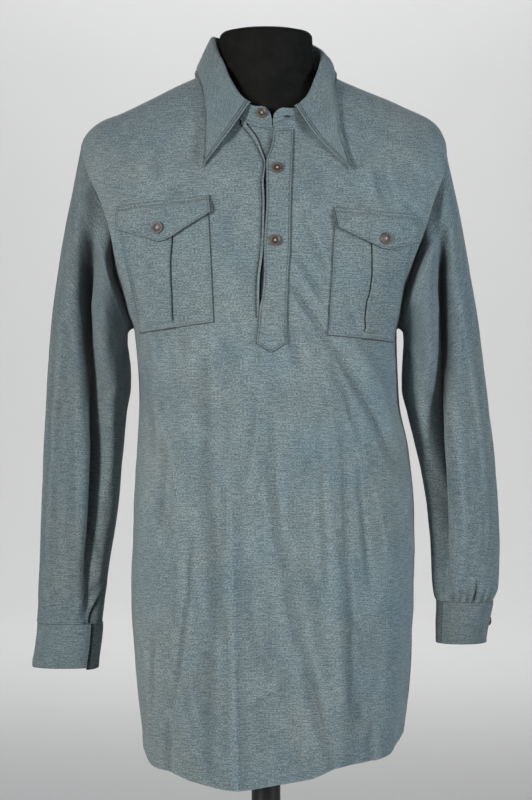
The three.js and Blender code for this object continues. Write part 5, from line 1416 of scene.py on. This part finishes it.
studio = dict(floorWide=14.0, floorFront=-7.0, wallY=7.6, wallHigh=7.0, bend=2.2, pale=(0.72, 0.72, 0.72, 1))


def sweep():
    # One pale sheet: the floor, rising in a bend into the backdrop
    profile = [(studio["floorFront"], 0.0), (studio["wallY"] - studio["bend"], 0.0)]
    for step in range(1, 13):
        a = math.pi / 2 * step / 12
        profile.append((studio["wallY"] - studio["bend"] + studio["bend"] * math.sin(a),
                        studio["bend"] * (1 - math.cos(a))))
    profile.append((studio["wallY"], studio["wallHigh"]))
    half = studio["floorWide"] / 2
    points = [(x, y, z) for y, z in profile for x in (-half, half)]
    faces = [(2 * k, 2 * k + 1, 2 * k + 3, 2 * k + 2) for k in range(len(profile) - 1)]
    mesh = bpy.data.meshes.new("studioSweep")
    mesh.from_pydata(points, [], faces)
    mesh.shade_smooth()
    material, tree, shader = newMaterial("paleSweep")
    coords = addNode(tree, "ShaderNodeTexCoord").outputs["Object"]
    cloudy = noise(tree, coords, 3, (1, 1, 1), 2.0, 0.5)
    pale = studio["pale"]
    colour = blend(tree, cloudy, pale, tuple(c * 0.97 for c in pale[:3]) + (1,))
    tree.links.new(colour, shader.inputs["Base Color"])
    shader.inputs["Roughness"].default_value = 0.9
    mesh.materials.append(material)
    piece = bpy.data.objects.new("studioSweep", mesh)
    bpy.context.scene.collection.objects.link(piece)
    return piece


sweep()
lights = [  # name, place, aimed at, width, height, power, spread in degrees, colour
    ("leftLight", (-1.85, -1.95, 1.1), (0.02, -0.1, 0.73), 0.5, 1.0, 10.0, 70, (1.0, 0.985, 0.95)),
    ("rightLight", (1.85, -1.15, 1.05), (0.04, -0.1, 0.73), 0.4, 1.0, 5.2, 70, (0.86, 0.94, 1.0)),
    ("frontFill", (0.4, -3.4, 1.1), (0, 0, 0.74), 0.8, 0.8, 1.3, 70, (0.97, 0.99, 1.0)),
    ("topFill", (0, -0.2, 3.0), (0, 0, 0.8), 1.6, 1.2, 3, 180, (1, 1, 1)),
    ("backLight", (0, 3.3, 3.0), (0, 1.7, 0.2), 2.4, 1.2, 40, 180, (1, 1, 1)),
    ("wallLight", (0, 4.4, 4.4), (0, 7.4, 1.4), 4.5, 0.8, 175, 180, (1, 1, 1))]
for name, at, target, wide, high, power, spread, colour in lights:
    lamp = bpy.data.lights.new(name, "AREA")
    lamp.shape, lamp.size, lamp.size_y, lamp.energy, lamp.color = "RECTANGLE", wide, high, power, colour
    lamp.spread = math.radians(spread)
    holder = bpy.data.objects.new(name, lamp)
    holder.location = at
    holder.rotation_euler = (Vector(target) - Vector(at)).to_track_quat("-Z", "Y").to_euler()
    bpy.context.scene.collection.objects.link(holder)
world = bpy.data.worlds.new("studioAir")
world.use_nodes = True
air = world.node_tree.nodes["Background"].inputs
air["Color"].default_value, air["Strength"].default_value = (0.9, 0.94, 1.0, 1), 0.08
bpy.context.scene.world = world
bpy.context.scene.view_settings.view_transform = "Standard"

view = dict(lens=108, sensor=36, reach=50, place=(0, -3.0, 0.746))
lens = bpy.data.cameras.new("camera")
lens.lens, lens.sensor_width, lens.clip_end = view["lens"], view["sensor"], view["reach"]
camera = bpy.data.objects.new("camera", lens)
camera.location = view["place"]
camera.rotation_euler = (math.radians(90), 0, 0)
bpy.context.scene.collection.objects.link(camera)
bpy.context.scene.camera = camera
print("studio made")
